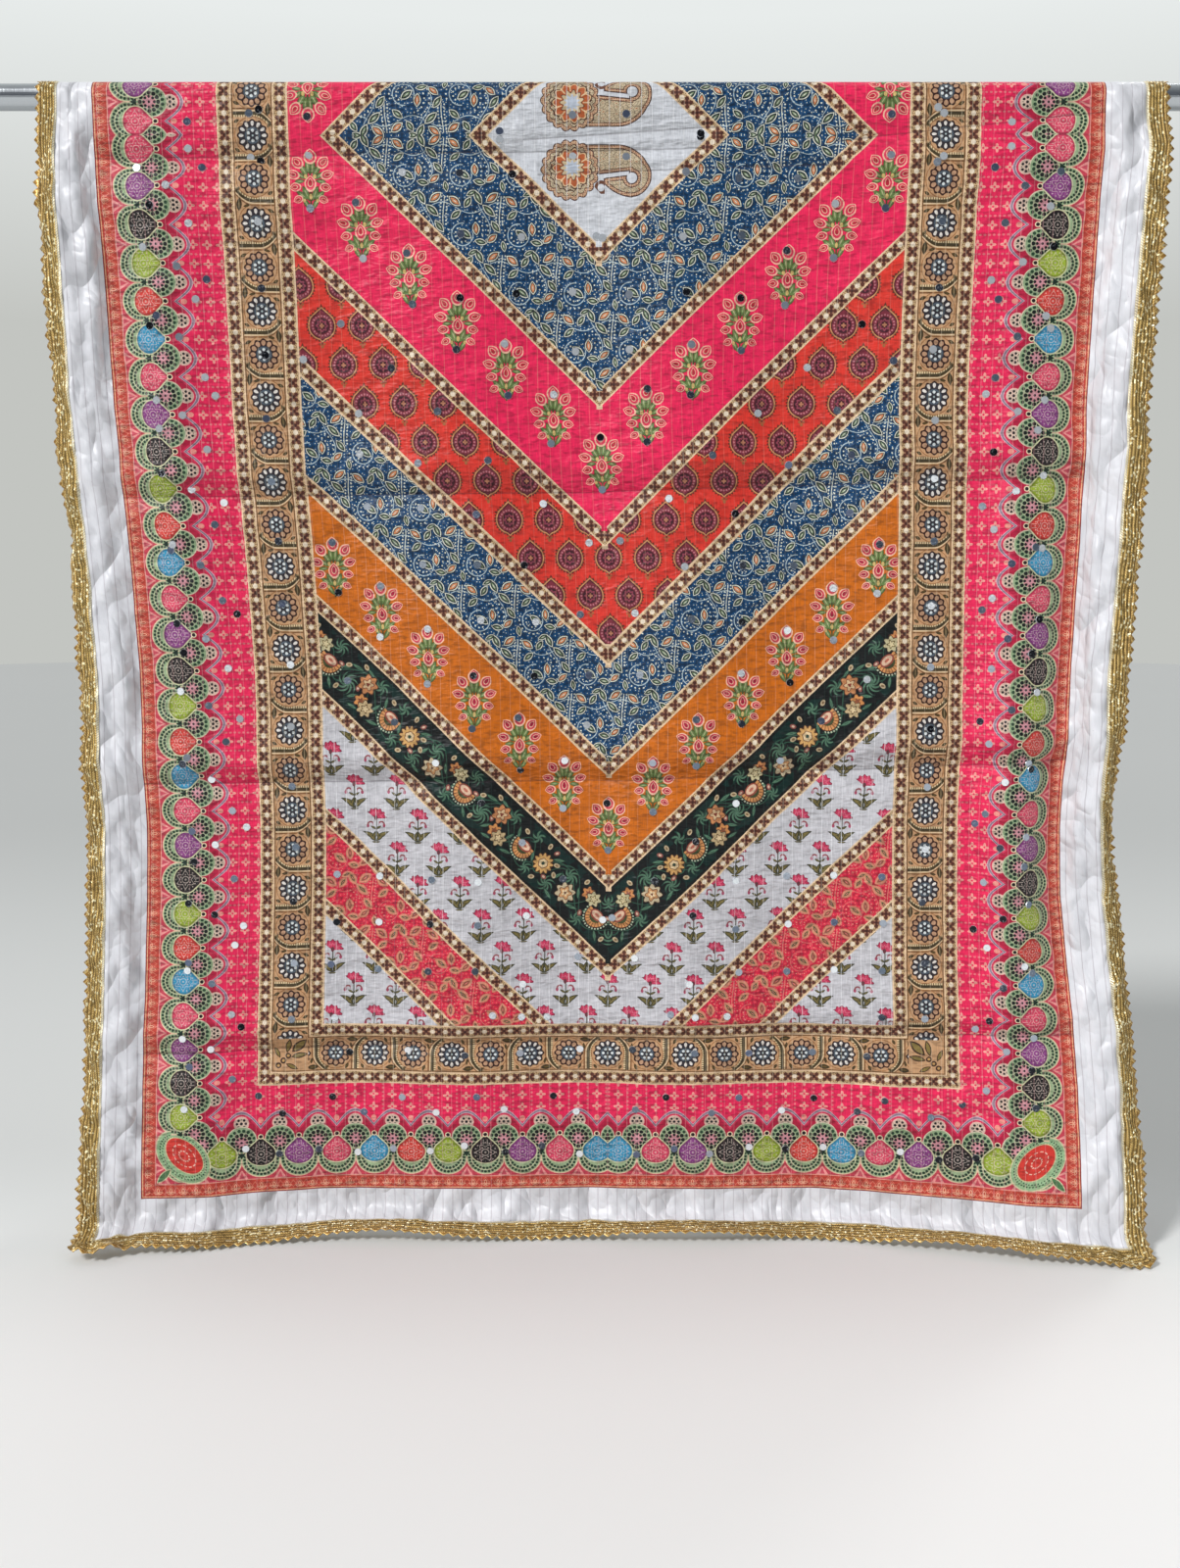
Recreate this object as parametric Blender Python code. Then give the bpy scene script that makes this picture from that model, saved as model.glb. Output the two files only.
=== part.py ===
"""Mirror work dupatta hung over a round steel rail.

One long cloth lies over the rail. Its front fall reaches the floor and is a
little longer than its back fall. A toothed gold lace is sewn round all four
edges. Metres, +Z up, X along the rail, the front faces -Y, and the origin is
the middle of the rail's axis.

Places on the cloth are given flat: u across from its middle, and s along it
from the crest of the rail, positive down the front and negative down the back.
"""
import math

import bmesh
import bpy
import numpy as np

# Rail
ROD_RADIUS = 0.0125
ROD_LENGTH = 1.30
ROD_CHAMFER = 0.001
ROD_SIDES = 48

# Cloth and lace, flat
CLOTH_WALL = 0.0012
SEAM_GAP = 0.0003
HALF_WIDTH = 0.560
HALF_LENGTH = 1.140
CENTRE_DROP = 0.060
LACE_WIDTH = 0.024
TOOTH_HEIGHT = 0.005
TOOTH_PITCH = 0.0102
TEETH_IN_BAY = 3
FIELD_HALF = 0.3725
PRINT_HALF = 0.4935

# Lie of the cloth on the rail
MID_RADIUS = ROD_RADIUS + SEAM_GAP + CLOTH_WALL / 2
QUARTER_TURN = MID_RADIUS * math.pi / 2
WRAP_STEPS = 12
FRONT_END = HALF_LENGTH + CENTRE_DROP
BACK_END = HALF_LENGTH - CENTRE_DROP
CLOTH_EDGE = HALF_WIDTH - LACE_WIDTH

# Broad upright waves of the middle field
WAVE_LENGTH = 0.235
WAVE_PHASE = 0.9
FADE_START = 0.30

# Steps for the sums that keep the cloth's width across a fold
SUM_STEP = 0.002
SLOPE_STEP = 0.001

# How each fall hangs, one row for each height below the rail.
# drop: height below the rail's axis; shift: sideways drift of the middle;
# ease: share of width taken up by small crinkles; wave: steepest slope of the
# field's waves; then for the left and right sides band: slope of the fold in
# the printed border; turn: how far the white edge turns outward; lace: the same
# for the lace; tuck: share of the white edge taken up by puckers. Angles in
# degrees, shares in parts of one.
COLUMNS = ("drop", "shift", "ease", "wave", "band_l", "turn_l", "lace_l", "tuck_l",
           "band_r", "turn_r", "lace_r", "tuck_r")
FRONT_HANG = (
    (0.00, 0.0000, 0.003, 0, 0, 0, 0, 0.18, 0, 0, 0, 0.06),
    (0.05, 0.0000, 0.004, 2, 5, 14, -20, 0.14, 4, 14, -8, 0.02),
    (0.10, 0.0000, 0.007, 5, 10, 24, -42, 0.06, 8, 28, -10, 0.00),
    (0.19, 0.0004, 0.012, 8, 12, 24, -56, 0.02, 10, 38, -14, 0.00),
    (0.30, 0.0010, 0.016, 9, 15, 18, -70, 0.00, 13, 44, -26, 0.00),
    (0.345, 0.0028, 0.018, 9, 18, 10, -42, 0.00, 16, 44, -10, 0.00),
    (0.43, 0.0065, 0.022, 9, 15, 14, -72, 0.00, 22, 45, -20, 0.00),
    (0.48, 0.0080, 0.025, 9, 12, 12, -48, 0.00, 26, 47, -34, 0.00),
    (0.56, 0.0105, 0.028, 9, 8, 14, -42, 0.00, 31, 52, -22, 0.00),
    (0.67, 0.0108, 0.030, 8, 5, 14, -34, 0.00, 36, 46, -74, 0.00),
    (0.72, 0.0108, 0.030, 8, 5, 14, -38, 0.00, 37, 38, -92, 0.00),
    (0.79, 0.0108, 0.024, 8, 6, 18, -44, 0.00, 36, 20, -58, 0.00),
    (0.88, 0.0102, 0.013, 8, 8, 20, -36, 0.00, 22, 24, -44, 0.00),
    (0.99, 0.0102, 0.003, 6, 10, 26, -48, 0.00, 8, 10, -50, 0.00),
    (1.10, 0.0104, 0.000, 3, 6, 20, -18, 0.00, 5, 6, -18, 0.00),
    (1.20, 0.0104, 0.000, 3, 6, 20, -18, 0.00, 5, 6, -18, 0.00),
)
BACK_HANG = (
    (0.00, 0.0000, 0.003, 0, 0, 0, 0, 0.18, 0, 0, 0, 0.06),
    (0.06, 0.0000, 0.006, 3, 4, 12, -16, 0.10, 6, 10, -22, 0.04),
    (0.14, -0.0006, 0.010, 7, 10, 30, -34, 0.02, 12, 20, -46, 0.00),
    (0.26, -0.0022, 0.014, 10, 16, 40, -52, 0.00, 14, 26, -30, 0.00),
    (0.37, -0.0040, 0.018, 11, 24, 36, -28, 0.00, 12, 12, -64, 0.00),
    (0.50, -0.0060, 0.022, 11, 30, 46, -60, 0.00, 8, 10, -42, 0.00),
    (0.61, -0.0068, 0.022, 10, 32, 30, -80, 0.00, 10, 22, -30, 0.00),
    (0.74, -0.0070, 0.018, 9, 24, 24, -44, 0.00, 16, 34, -58, 0.00),
    (0.87, -0.0066, 0.010, 8, 12, 30, -30, 0.00, 18, 28, -38, 0.00),
    (1.00, -0.0060, 0.004, 7, 8, 16, -22, 0.00, 14, 16, -24, 0.00),
    (1.10, -0.0060, 0.004, 7, 8, 16, -22, 0.00, 14, 16, -24, 0.00),
)

# Creases across, left from the folded parcel.
# drop at the middle; tilt: rise towards the right; lift: height of the ridge,
# negative for a trough; reach: half its width.
FRONT_CREASES = (
    {"drop": 0.078, "tilt": 0.05, "lift": 0.004, "reach": 0.050},
    {"drop": 0.354, "tilt": 0.03, "lift": 0.007, "reach": 0.070},
    {"drop": 0.640, "tilt": 0.03, "lift": 0.009, "reach": 0.080},
    {"drop": 0.930, "tilt": 0.02, "lift": 0.005, "reach": 0.060},
)
BACK_CREASES = (
    {"drop": 0.215, "tilt": -0.03, "lift": 0.006, "reach": 0.070},
    {"drop": 0.500, "tilt": 0.02, "lift": 0.008, "reach": 0.080},
    {"drop": 0.785, "tilt": -0.02, "lift": 0.006, "reach": 0.070},
)

# Lower corners that swing outward. side: +1 right or -1 left; swing: how far
# at the corner; top: drop where it starts; inner: distance from the middle.
FRONT_CORNERS = (
    {"side": 1, "swing": 0.062, "top": 0.84, "inner": 0.20},
    {"side": -1, "swing": 0.036, "top": 0.88, "inner": 0.26},
)
BACK_CORNERS = (
    {"side": 1, "swing": 0.020, "top": 0.70, "inner": 0.24},
    {"side": -1, "swing": 0.026, "top": 0.62, "inner": 0.20},
)

# The front hem lies forward on the floor: path where it starts to bend, path
# over which it bends, its angle from upright, and how the angle varies across.
CURL_START = 1.146
CURL_REACH = 0.030
CURL_ANGLE = 74.0
CURL_VARY = 9.0
CURL_WAVE = 0.31
# The back hem hangs free and flares a little.
FLARE_START = 0.98
FLARE_REACH = 0.09
FLARE_ANGLE = 7.0


def smooth(value, low, high):
    """Soft step from 0 at low to 1 at high."""
    t = np.clip((value - low) / (high - low), 0.0, 1.0)
    return t * t * (3.0 - 2.0 * t)


def hang_at(table, drop):
    """The hang table's values at one height, by column name."""
    rows = np.array(table)
    return {name: np.interp(drop, rows[:, 0], rows[:, i]) for i, name in enumerate(COLUMNS)}


def headings(hang, u):
    """Slope of the cloth across, in radians, and its share of lost width."""
    out = np.abs(u)
    field = np.radians(hang["wave"]) * np.sin(2 * math.pi * u / WAVE_LENGTH + WAVE_PHASE)
    field *= 1.0 - smooth(out, FADE_START, FIELD_HALF)
    angle = field * np.sign(u)
    lost = np.full_like(u, float(hang["ease"]))
    for side, mark in ((-1, "l"), (1, "r")):
        on = (u * side) > 0
        fold = np.clip((out - FIELD_HALF) / (PRINT_HALF - FIELD_HALF), 0.0, 1.0)
        band = np.radians(hang["band_" + mark]) * np.sin(2 * math.pi * fold)
        turn = np.radians(hang["turn_" + mark]) * smooth(out, PRINT_HALF - 0.012, PRINT_HALF + 0.010)
        lace = np.radians(hang["lace_" + mark] - hang["turn_" + mark])
        lace *= smooth(out, CLOTH_EDGE - 0.008, CLOTH_EDGE + 0.008)
        angle = np.where(on, angle + band + turn + lace, angle)
        lost = np.where(on & (out > PRINT_HALF), hang["tuck_" + mark], lost)
    return angle, lost


def section(hang, u):
    """Sideways place and outward rise of the cloth at one height."""
    half = np.arange(0.0, HALF_WIDTH + 0.02, SUM_STEP)
    side_x = {}
    side_y = {}
    for side in (-1, 1):
        angle, lost = headings(hang, half * side + side * 1e-9)
        run = np.cos(angle) * (1.0 - lost)
        rise = np.sin(angle)
        side_x[side] = np.concatenate(([0.0], np.cumsum((run[1:] + run[:-1]) / 2) * SUM_STEP))
        side_y[side] = np.concatenate(([0.0], np.cumsum((rise[1:] + rise[:-1]) / 2) * SUM_STEP))
    printed = half <= PRINT_HALF
    lowest = min(side_y[-1][printed].min(), side_y[1][printed].min())
    out = np.abs(u)
    x = np.where(u < 0, -np.interp(out, half, side_x[-1]), np.interp(out, half, side_x[1]))
    y = np.where(u < 0, np.interp(out, half, side_y[-1]), np.interp(out, half, side_y[1]))
    return x + hang["shift"], y - lowest


def crease_rise(creases, u, drop):
    """Outward height of the creases across."""
    rise = np.zeros_like(u)
    for crease in creases:
        away = np.abs(drop - crease["drop"] + crease["tilt"] * u) / crease["reach"]
        rise += crease["lift"] * np.clip(1.0 - away, 0.0, 1.0) ** 2
    return rise


def corner_swing(corners, u, drop, length):
    """Outward swing of the lower corners."""
    swing = np.zeros_like(u)
    for corner in corners:
        across = smooth(u * corner["side"], corner["inner"], HALF_WIDTH)
        swing += corner["swing"] * across * smooth(drop, corner["top"], length)
    return swing


def bend(path, u, back):
    """Extra outward reach and drop of the bent hem, from its own angle."""
    if back:
        start, reach, most = FLARE_START, FLARE_REACH, FLARE_ANGLE
        top = np.full_like(u, math.radians(most))
    else:
        start, reach = CURL_START, CURL_REACH
        top = np.radians(CURL_ANGLE + CURL_VARY * np.sin(2 * math.pi * u / CURL_WAVE))
    turned = np.clip(path - start, 0.0, None)
    out = np.zeros_like(u)
    down = np.minimum(path, start)
    steps = 12
    for i in range(steps):
        at = turned * (i + 0.5) / steps
        angle = top * smooth(at, 0.0, reach)
        out += np.sin(angle) * turned / steps
        down += np.cos(angle) * turned / steps
    return out, down


def lie(u, s):
    """Points of the cloth's middle surface for flat places (u, s)."""
    u = np.asarray(u, float)
    s = np.asarray(s, float)
    points = np.zeros((len(u), 3))
    for path in np.unique(s):
        here = s == path
        back = path < 0
        along = abs(path)
        across = u[here]
        sign = 1.0 if back else -1.0
        if along <= QUARTER_TURN:
            table = BACK_HANG if back else FRONT_HANG
            x, _ = section(hang_at(table, 0.0), across)
            turn = along / MID_RADIUS
            y = sign * MID_RADIUS * math.sin(turn) * np.ones_like(across)
            z = MID_RADIUS * math.cos(turn) * np.ones_like(across)
        else:
            table = BACK_HANG if back else FRONT_HANG
            creases = BACK_CREASES if back else FRONT_CREASES
            corners = BACK_CORNERS if back else FRONT_CORNERS
            length = (BACK_END if back else FRONT_END) - QUARTER_TURN
            out, down = bend(np.full_like(across, along), across, back)
            drop = down - QUARTER_TURN
            x, rise = section(hang_at(table, along - QUARTER_TURN), across)
            rise = rise + crease_rise(creases, across, drop) + corner_swing(corners, across, drop, length)
            y = sign * (MID_RADIUS + out + rise * smooth(drop, 0.0, 0.05))
            z = -drop
        points[here] = np.stack([x, y, z], axis=1)
    return points


def facing(u, s):
    """Unit vectors that point out of the cloth's right side."""
    u = np.asarray(u, float)
    s = np.asarray(s, float)
    across = lie(u + SLOPE_STEP, s) - lie(u - SLOPE_STEP, s)
    along = lie(u, s + SLOPE_STEP) - lie(u, s - SLOPE_STEP)
    normal = np.cross(along, across)
    return normal / np.linalg.norm(normal, axis=1)[:, None]


def material(name, color, roughness, metallic=0.0):
    """A plain finish for one piece."""
    finish = bpy.data.materials.new(name)
    finish.use_nodes = True
    shader = finish.node_tree.nodes["Principled BSDF"]
    shader.inputs["Base Color"].default_value = (*color, 1.0)
    shader.inputs["Roughness"].default_value = roughness
    shader.inputs["Metallic"].default_value = metallic
    return finish


def place(name, mesh_data, finish, sharp_angle):
    """Turn a bmesh into a named object."""
    mesh = bpy.data.meshes.new(name)
    mesh_data.to_mesh(mesh)
    mesh_data.free()
    mesh.shade_smooth()
    mesh.set_sharp_from_angle(angle=math.radians(sharp_angle))
    mesh.materials.append(finish)
    thing = bpy.data.objects.new(name, mesh)
    bpy.context.collection.objects.link(thing)
    return thing


def wall(name, flat, faces, finish):
    """A closed wall of cloth thickness on flat places and their faces."""
    u = np.array([p[0] for p in flat])
    s = np.array([p[1] for p in flat])
    middle = lie(u, s)
    offset = facing(u, s) * CLOTH_WALL / 2
    shape = bmesh.new()
    outer = [shape.verts.new(p) for p in middle + offset]
    inner = [shape.verts.new(p) for p in middle - offset]
    for face in faces:
        shape.faces.new([outer[i] for i in face])
        shape.faces.new([inner[i] for i in reversed(face)])
    used = {}
    for face in faces:
        for a, b in zip(face, face[1:] + face[:1]):
            used[(a, b)] = True
    for a, b in used:
        if (b, a) not in used:
            shape.faces.new([outer[b], outer[a], inner[a], inner[b]])
    bmesh.ops.recalc_face_normals(shape, faces=shape.faces)
    return place(name, shape, finish, 50)


def grid(name, columns, rows, finish):
    """A panel of cloth with a point at each column and row."""
    flat = [(u, s) for s in rows for u in columns]
    count = len(columns)
    faces = []
    for r in range(len(rows) - 1):
        for c in range(count - 1):
            a = r * count + c
            faces.append([a, a + 1, a + count + 1, a + count])
    return wall(name, flat, faces, finish)


def toothed_run(flat, faces, inner, outer_base, tips):
    """Add one bay of lace: faces from the inner edge to the teeth.

    inner holds one or two places, outer_base the valleys between teeth, and
    tips one place for each tooth.
    """
    def add(spot):
        key = (round(spot[0], 7), round(spot[1], 7))
        for i, known in enumerate(flat):
            if (round(known[0], 7), round(known[1], 7)) == key:
                return i
        flat.append(spot)
        return len(flat) - 1

    edge = [add(p) for p in inner]
    base = [add(p) for p in outer_base]
    half = len(base) // 2
    for i in range(len(base) - 1):
        near = edge[0] if i < half or len(edge) == 1 else edge[-1]
        faces.append([near, base[i], base[i + 1]])
        if i + 1 == half and len(edge) == 2:
            faces.append([edge[0], base[i + 1], edge[1]])
    for i, tip in enumerate(tips):
        faces.append([base[i], add(tip), base[i + 1]])


def between(start, end, share):
    """A place part of the way from start to end."""
    return (start[0] + (end[0] - start[0]) * share, start[1] + (end[1] - start[1]) * share)


def zigzag(start, end, teeth, out):
    """Valleys and tips of teeth between two places; out points off the edge."""
    valleys = [between(start, end, i / teeth) for i in range(teeth + 1)]
    tips = []
    for i in range(teeth):
        u, s = between(start, end, (i + 0.5) / teeth)
        tips.append((u + out[0] * TOOTH_HEIGHT, s + out[1] * TOOTH_HEIGHT))
    return valleys, tips


def turned_right(faces, flat):
    """Faces all wound the same way in the flat."""
    done = []
    for face in faces:
        (u0, s0), (u1, s1), (u2, s2) = (flat[i] for i in face)
        twice_area = (u1 - u0) * (s2 - s0) - (u2 - u0) * (s1 - s0)
        done.append(face if twice_area > 0 else face[::-1])
    return done


def side_lace(name, side, rows, teeth, finish):
    """Lace down one side, with a bay between each pair of rows."""
    inner_u = side * (CLOTH_EDGE + SEAM_GAP)
    base_u = side * (HALF_WIDTH - TOOTH_HEIGHT)
    flat = []
    faces = []
    for top, bottom in zip(rows, rows[1:]):
        valleys, tips = zigzag((base_u, top), (base_u, bottom), teeth, (side, 0.0))
        toothed_run(flat, faces, [(inner_u, top), (inner_u, bottom)], valleys, tips)
    return wall(name, flat, turned_right(faces, flat), finish)


def wrap_lace(name, side, rows, finish):
    """Lace over the rail, with a tooth for each pair of rows."""
    inner_u = side * (CLOTH_EDGE + SEAM_GAP)
    base_u = side * (HALF_WIDTH - TOOTH_HEIGHT)
    tip_u = side * HALF_WIDTH
    flat = [(inner_u, s) for s in rows] + [(base_u, s) for s in rows]
    count = len(rows)
    faces = []
    for i in range(count - 1):
        faces.append([i, count + i, count + i + 1])
        faces.append([i, count + i + 1, i + 1])
    for i in range(0, count - 2, 2):
        flat.append((tip_u, rows[i + 1]))
        tip = len(flat) - 1
        faces.append([count + i, tip, count + i + 1])
        faces.append([count + i + 1, tip, count + i + 2])
    return wall(name, flat, turned_right(faces, flat), finish)


def hem_lace(name, end, columns, finish):
    """Lace across a hem, round both corners to the side laces."""
    sign = 1 if end > 0 else -1
    inner_s = end - sign * (LACE_WIDTH - SEAM_GAP)
    base_s = end - sign * TOOTH_HEIGHT
    base_u = HALF_WIDTH - TOOTH_HEIGHT
    flat = []
    faces = []
    for left, right in zip(columns, columns[1:]):
        teeth = max(1, round((right - left) / TOOTH_PITCH))
        valleys, tips = zigzag((left, base_s), (right, base_s), teeth, (0.0, sign))
        toothed_run(flat, faces, [(left, inner_s), (right, inner_s)], valleys, tips)
    for side, u in ((-1, columns[0]), (1, columns[-1])):
        corner = (side * base_u, base_s)
        bottom, bottom_tips = zigzag((u, base_s), corner, 2, (0.0, sign))
        upright, upright_tips = zigzag(corner, (side * base_u, inner_s), 2, (side, 0.0))
        toothed_run(flat, faces, [(u, inner_s)], bottom + upright[1:], bottom_tips + upright_tips)
    return wall(name, flat, turned_right(faces, flat), finish)


def rail(finish):
    """The round steel rail with eased ends."""
    shape = bmesh.new()
    bmesh.ops.create_cone(shape, cap_ends=True, segments=ROD_SIDES, radius1=ROD_RADIUS,
                          radius2=ROD_RADIUS, depth=ROD_LENGTH)
    rims = [edge for edge in shape.edges if abs(edge.verts[0].co.z - edge.verts[1].co.z) < 1e-6]
    bmesh.ops.bevel(shape, geom=rims, offset=ROD_CHAMFER, segments=1, profile=0.5, affect="EDGES",
                    material=-1)
    thing = place("rod", shape, finish, 30)
    thing.rotation_euler = (0.0, math.pi / 2, 0.0)
    return thing


def column_places():
    """Columns of a fall: close in the folded sides, wider in the middle."""
    field = list(np.linspace(0.0, 0.33, 6))
    side = list(np.linspace(0.33, CLOTH_EDGE, 11))[1:]
    right = field + side
    return [-u for u in reversed(right[1:])] + right


def row_places(end):
    """Rows of a fall, a whole number of lace teeth apart, rail to hem lace."""
    top = QUARTER_TURN + SEAM_GAP / 2
    bottom = abs(end) - LACE_WIDTH
    count = round((bottom - top) / (TOOTH_PITCH * TEETH_IN_BAY))
    rows = np.linspace(top, bottom, count + 1)
    return list(rows if end > 0 else -rows)


def main():
    for thing in list(bpy.data.objects):
        bpy.data.objects.remove(thing, do_unlink=True)
    printed = material("printed_cloth", (0.72, 0.12, 0.20), 0.55)
    gold = material("gold_lace", (0.66, 0.46, 0.14), 0.35, 0.7)
    steel = material("steel", (0.60, 0.60, 0.62), 0.22, 1.0)

    rail(steel)
    columns = column_places()
    wrap_half = QUARTER_TURN - SEAM_GAP / 2
    wrap_rows = list(np.linspace(-wrap_half, wrap_half, WRAP_STEPS + 1))
    wrap_columns = [-CLOTH_EDGE, -PRINT_HALF, 0.0, PRINT_HALF, CLOTH_EDGE]
    tooth_rows = list(np.linspace(-wrap_half, wrap_half, 9))
    grid("over_rail", wrap_columns, wrap_rows, printed)
    for side, word in ((-1, "left"), (1, "right")):
        wrap_lace("lace_over_rail_" + word, side, tooth_rows, gold)
    for word, end in (("front", FRONT_END), ("back", -BACK_END)):
        rows = row_places(end)
        grid(word + "_fall", columns, rows, printed)
        for side, hand in ((-1, "left"), (1, "right")):
            side_lace(word + "_lace_" + hand, side, rows, TEETH_IN_BAY, gold)
        hem_lace(word + "_hem_lace", end, columns, gold)


main()
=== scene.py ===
"""Looks of a mirror work dupatta hung over a round steel rail.

Metres, X along the rail, the front faces -Y, +Z up. Places on the cloth are
given flat: u across from its middle and s along it from the crest of the rail,
positive down the front. The print mirrors about the cloth's own middle line,
so its places are u and q, where q = s - CENTRE_DROP.
"""
import math

import bmesh
import bpy
import numpy as np
from mathutils import Matrix, Vector


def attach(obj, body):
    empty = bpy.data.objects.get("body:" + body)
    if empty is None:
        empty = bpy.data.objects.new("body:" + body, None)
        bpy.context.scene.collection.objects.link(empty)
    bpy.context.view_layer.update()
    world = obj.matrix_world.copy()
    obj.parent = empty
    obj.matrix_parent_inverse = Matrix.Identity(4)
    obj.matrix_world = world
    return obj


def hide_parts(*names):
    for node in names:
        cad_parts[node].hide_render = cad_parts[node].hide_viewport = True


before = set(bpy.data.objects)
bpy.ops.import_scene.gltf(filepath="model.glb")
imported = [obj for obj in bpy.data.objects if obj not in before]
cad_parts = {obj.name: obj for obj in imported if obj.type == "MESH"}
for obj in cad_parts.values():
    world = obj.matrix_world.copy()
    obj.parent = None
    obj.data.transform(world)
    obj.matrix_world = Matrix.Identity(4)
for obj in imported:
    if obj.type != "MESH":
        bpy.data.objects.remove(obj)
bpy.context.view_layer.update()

# The cloth's lie, as its solids have it
ROD_RADIUS = 0.0125
CLOTH_WALL = 0.0012
HALF_WIDTH = 0.560
CENTRE_DROP = 0.060
LACE_WIDTH = 0.024
TOOTH_HEIGHT = 0.005
TOOTH_PITCH = 0.0102
FIELD_HALF = 0.3725
PRINT_HALF = 0.4935
PRINT_END = 1.077
ROD_GAP = 0.0003
MID_RADIUS = ROD_RADIUS + ROD_GAP + CLOTH_WALL / 2
QUARTER_TURN = MID_RADIUS * math.pi / 2
FRONT_END = 1.200
BACK_END = 1.080
CLOTH_EDGE = HALF_WIDTH - LACE_WIDTH
WAVE_LENGTH = 0.235
WAVE_PHASE = 0.9
FADE_START = 0.30
LACE_EASE = 0.6
# The edge and the lace turn between these places across
EDGE_TURN = (PRINT_HALF - 0.012, PRINT_HALF + 0.010)
LACE_TURN = (CLOTH_EDGE - 0.008, CLOTH_EDGE + 0.008)
# The folds come in over this drop below the rail
FOLDS_DROP = 0.05
# Steps of the drape's fine grid, and how far it reaches past the edges
SUM_STEP = 0.002
DROP_STEP = 0.003
SPARE = 0.02

# How each fall hangs, by its drop below the rail: sideways shift, share of width lost and the
# waves' slope; then for left and right the slopes of border, white edge and lace, and the share
# that the edge tucks in. Slopes are in degrees
FRONT_HANG = (
    (0.00, 0.0000, 0.003, 0, 0, 0, 0, 0.18, 0, 0, 0, 0.06),
    (0.05, 0.0000, 0.004, 2, 5, 14, -20, 0.14, 4, 14, -8, 0.02),
    (0.10, 0.0000, 0.007, 5, 10, 24, -42, 0.06, 8, 28, -10, 0.00),
    (0.19, 0.0004, 0.012, 8, 12, 24, -56, 0.02, 10, 38, -14, 0.00),
    (0.30, 0.0010, 0.016, 9, 15, 18, -70, 0.00, 13, 44, -26, 0.00),
    (0.345, 0.0028, 0.018, 9, 18, 10, -42, 0.00, 16, 44, -10, 0.00),
    (0.43, 0.0065, 0.022, 9, 15, 14, -72, 0.00, 22, 45, -20, 0.00),
    (0.48, 0.0080, 0.025, 9, 12, 12, -48, 0.00, 26, 47, -34, 0.00),
    (0.56, 0.0105, 0.028, 9, 8, 14, -42, 0.00, 31, 52, -22, 0.00),
    (0.67, 0.0108, 0.030, 8, 5, 14, -34, 0.00, 36, 46, -74, 0.00),
    (0.72, 0.0108, 0.030, 8, 5, 14, -38, 0.00, 37, 38, -92, 0.00),
    (0.79, 0.0108, 0.024, 8, 6, 18, -44, 0.00, 36, 20, -58, 0.00),
    (0.88, 0.0102, 0.013, 8, 8, 20, -36, 0.00, 22, 24, -44, 0.00),
    (0.99, 0.0102, 0.003, 6, 10, 26, -48, 0.00, 8, 10, -50, 0.00),
    (1.10, 0.0104, 0.000, 3, 6, 20, -18, 0.00, 5, 6, -18, 0.00),
    (1.20, 0.0104, 0.000, 3, 6, 20, -18, 0.00, 5, 6, -18, 0.00),
)
BACK_HANG = (
    (0.00, 0.0000, 0.003, 0, 0, 0, 0, 0.18, 0, 0, 0, 0.06),
    (0.06, 0.0000, 0.006, 3, 4, 12, -16, 0.10, 6, 10, -22, 0.04),
    (0.14, -0.0006, 0.010, 7, 10, 30, -34, 0.02, 12, 20, -46, 0.00),
    (0.26, -0.0022, 0.014, 10, 16, 40, -52, 0.00, 14, 26, -30, 0.00),
    (0.37, -0.0040, 0.018, 11, 24, 36, -28, 0.00, 12, 12, -64, 0.00),
    (0.50, -0.0060, 0.022, 11, 30, 46, -60, 0.00, 8, 10, -42, 0.00),
    (0.61, -0.0068, 0.022, 10, 32, 30, -80, 0.00, 10, 22, -30, 0.00),
    (0.74, -0.0070, 0.018, 9, 24, 24, -44, 0.00, 16, 34, -58, 0.00),
    (0.87, -0.0066, 0.010, 8, 12, 30, -30, 0.00, 18, 28, -38, 0.00),
    (1.00, -0.0060, 0.004, 7, 8, 16, -22, 0.00, 14, 16, -24, 0.00),
    (1.10, -0.0060, 0.004, 7, 8, 16, -22, 0.00, 14, 16, -24, 0.00),
)
# Broad creases across: drop, tilt, lift and reach
FRONT_CREASES = ((0.078, 0.05, 0.004, 0.050), (0.354, 0.03, 0.007, 0.070),
                 (0.640, 0.03, 0.009, 0.080), (0.930, 0.02, 0.005, 0.060))
BACK_CREASES = ((0.215, -0.03, 0.006, 0.070), (0.500, 0.02, 0.008, 0.080),
                (0.785, -0.02, 0.006, 0.070))
# Lower corners that swing outward: side, swing, the drop and the place across where it starts
FRONT_CORNERS = ((1, 0.062, 0.84, 0.20), (-1, 0.036, 0.88, 0.26))
BACK_CORNERS = ((1, 0.020, 0.70, 0.24), (-1, 0.026, 0.62, 0.20))
# The front hem curls on the floor, more or less along its width; the back hem flares
CURL_START, CURL_REACH, CURL_ANGLE, CURL_VARY, CURL_WAVE = 1.146, 0.030, 74.0, 9.0, 0.31
FLARE_START, FLARE_REACH, FLARE_ANGLE = 0.98, 0.09, 7.0

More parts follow.
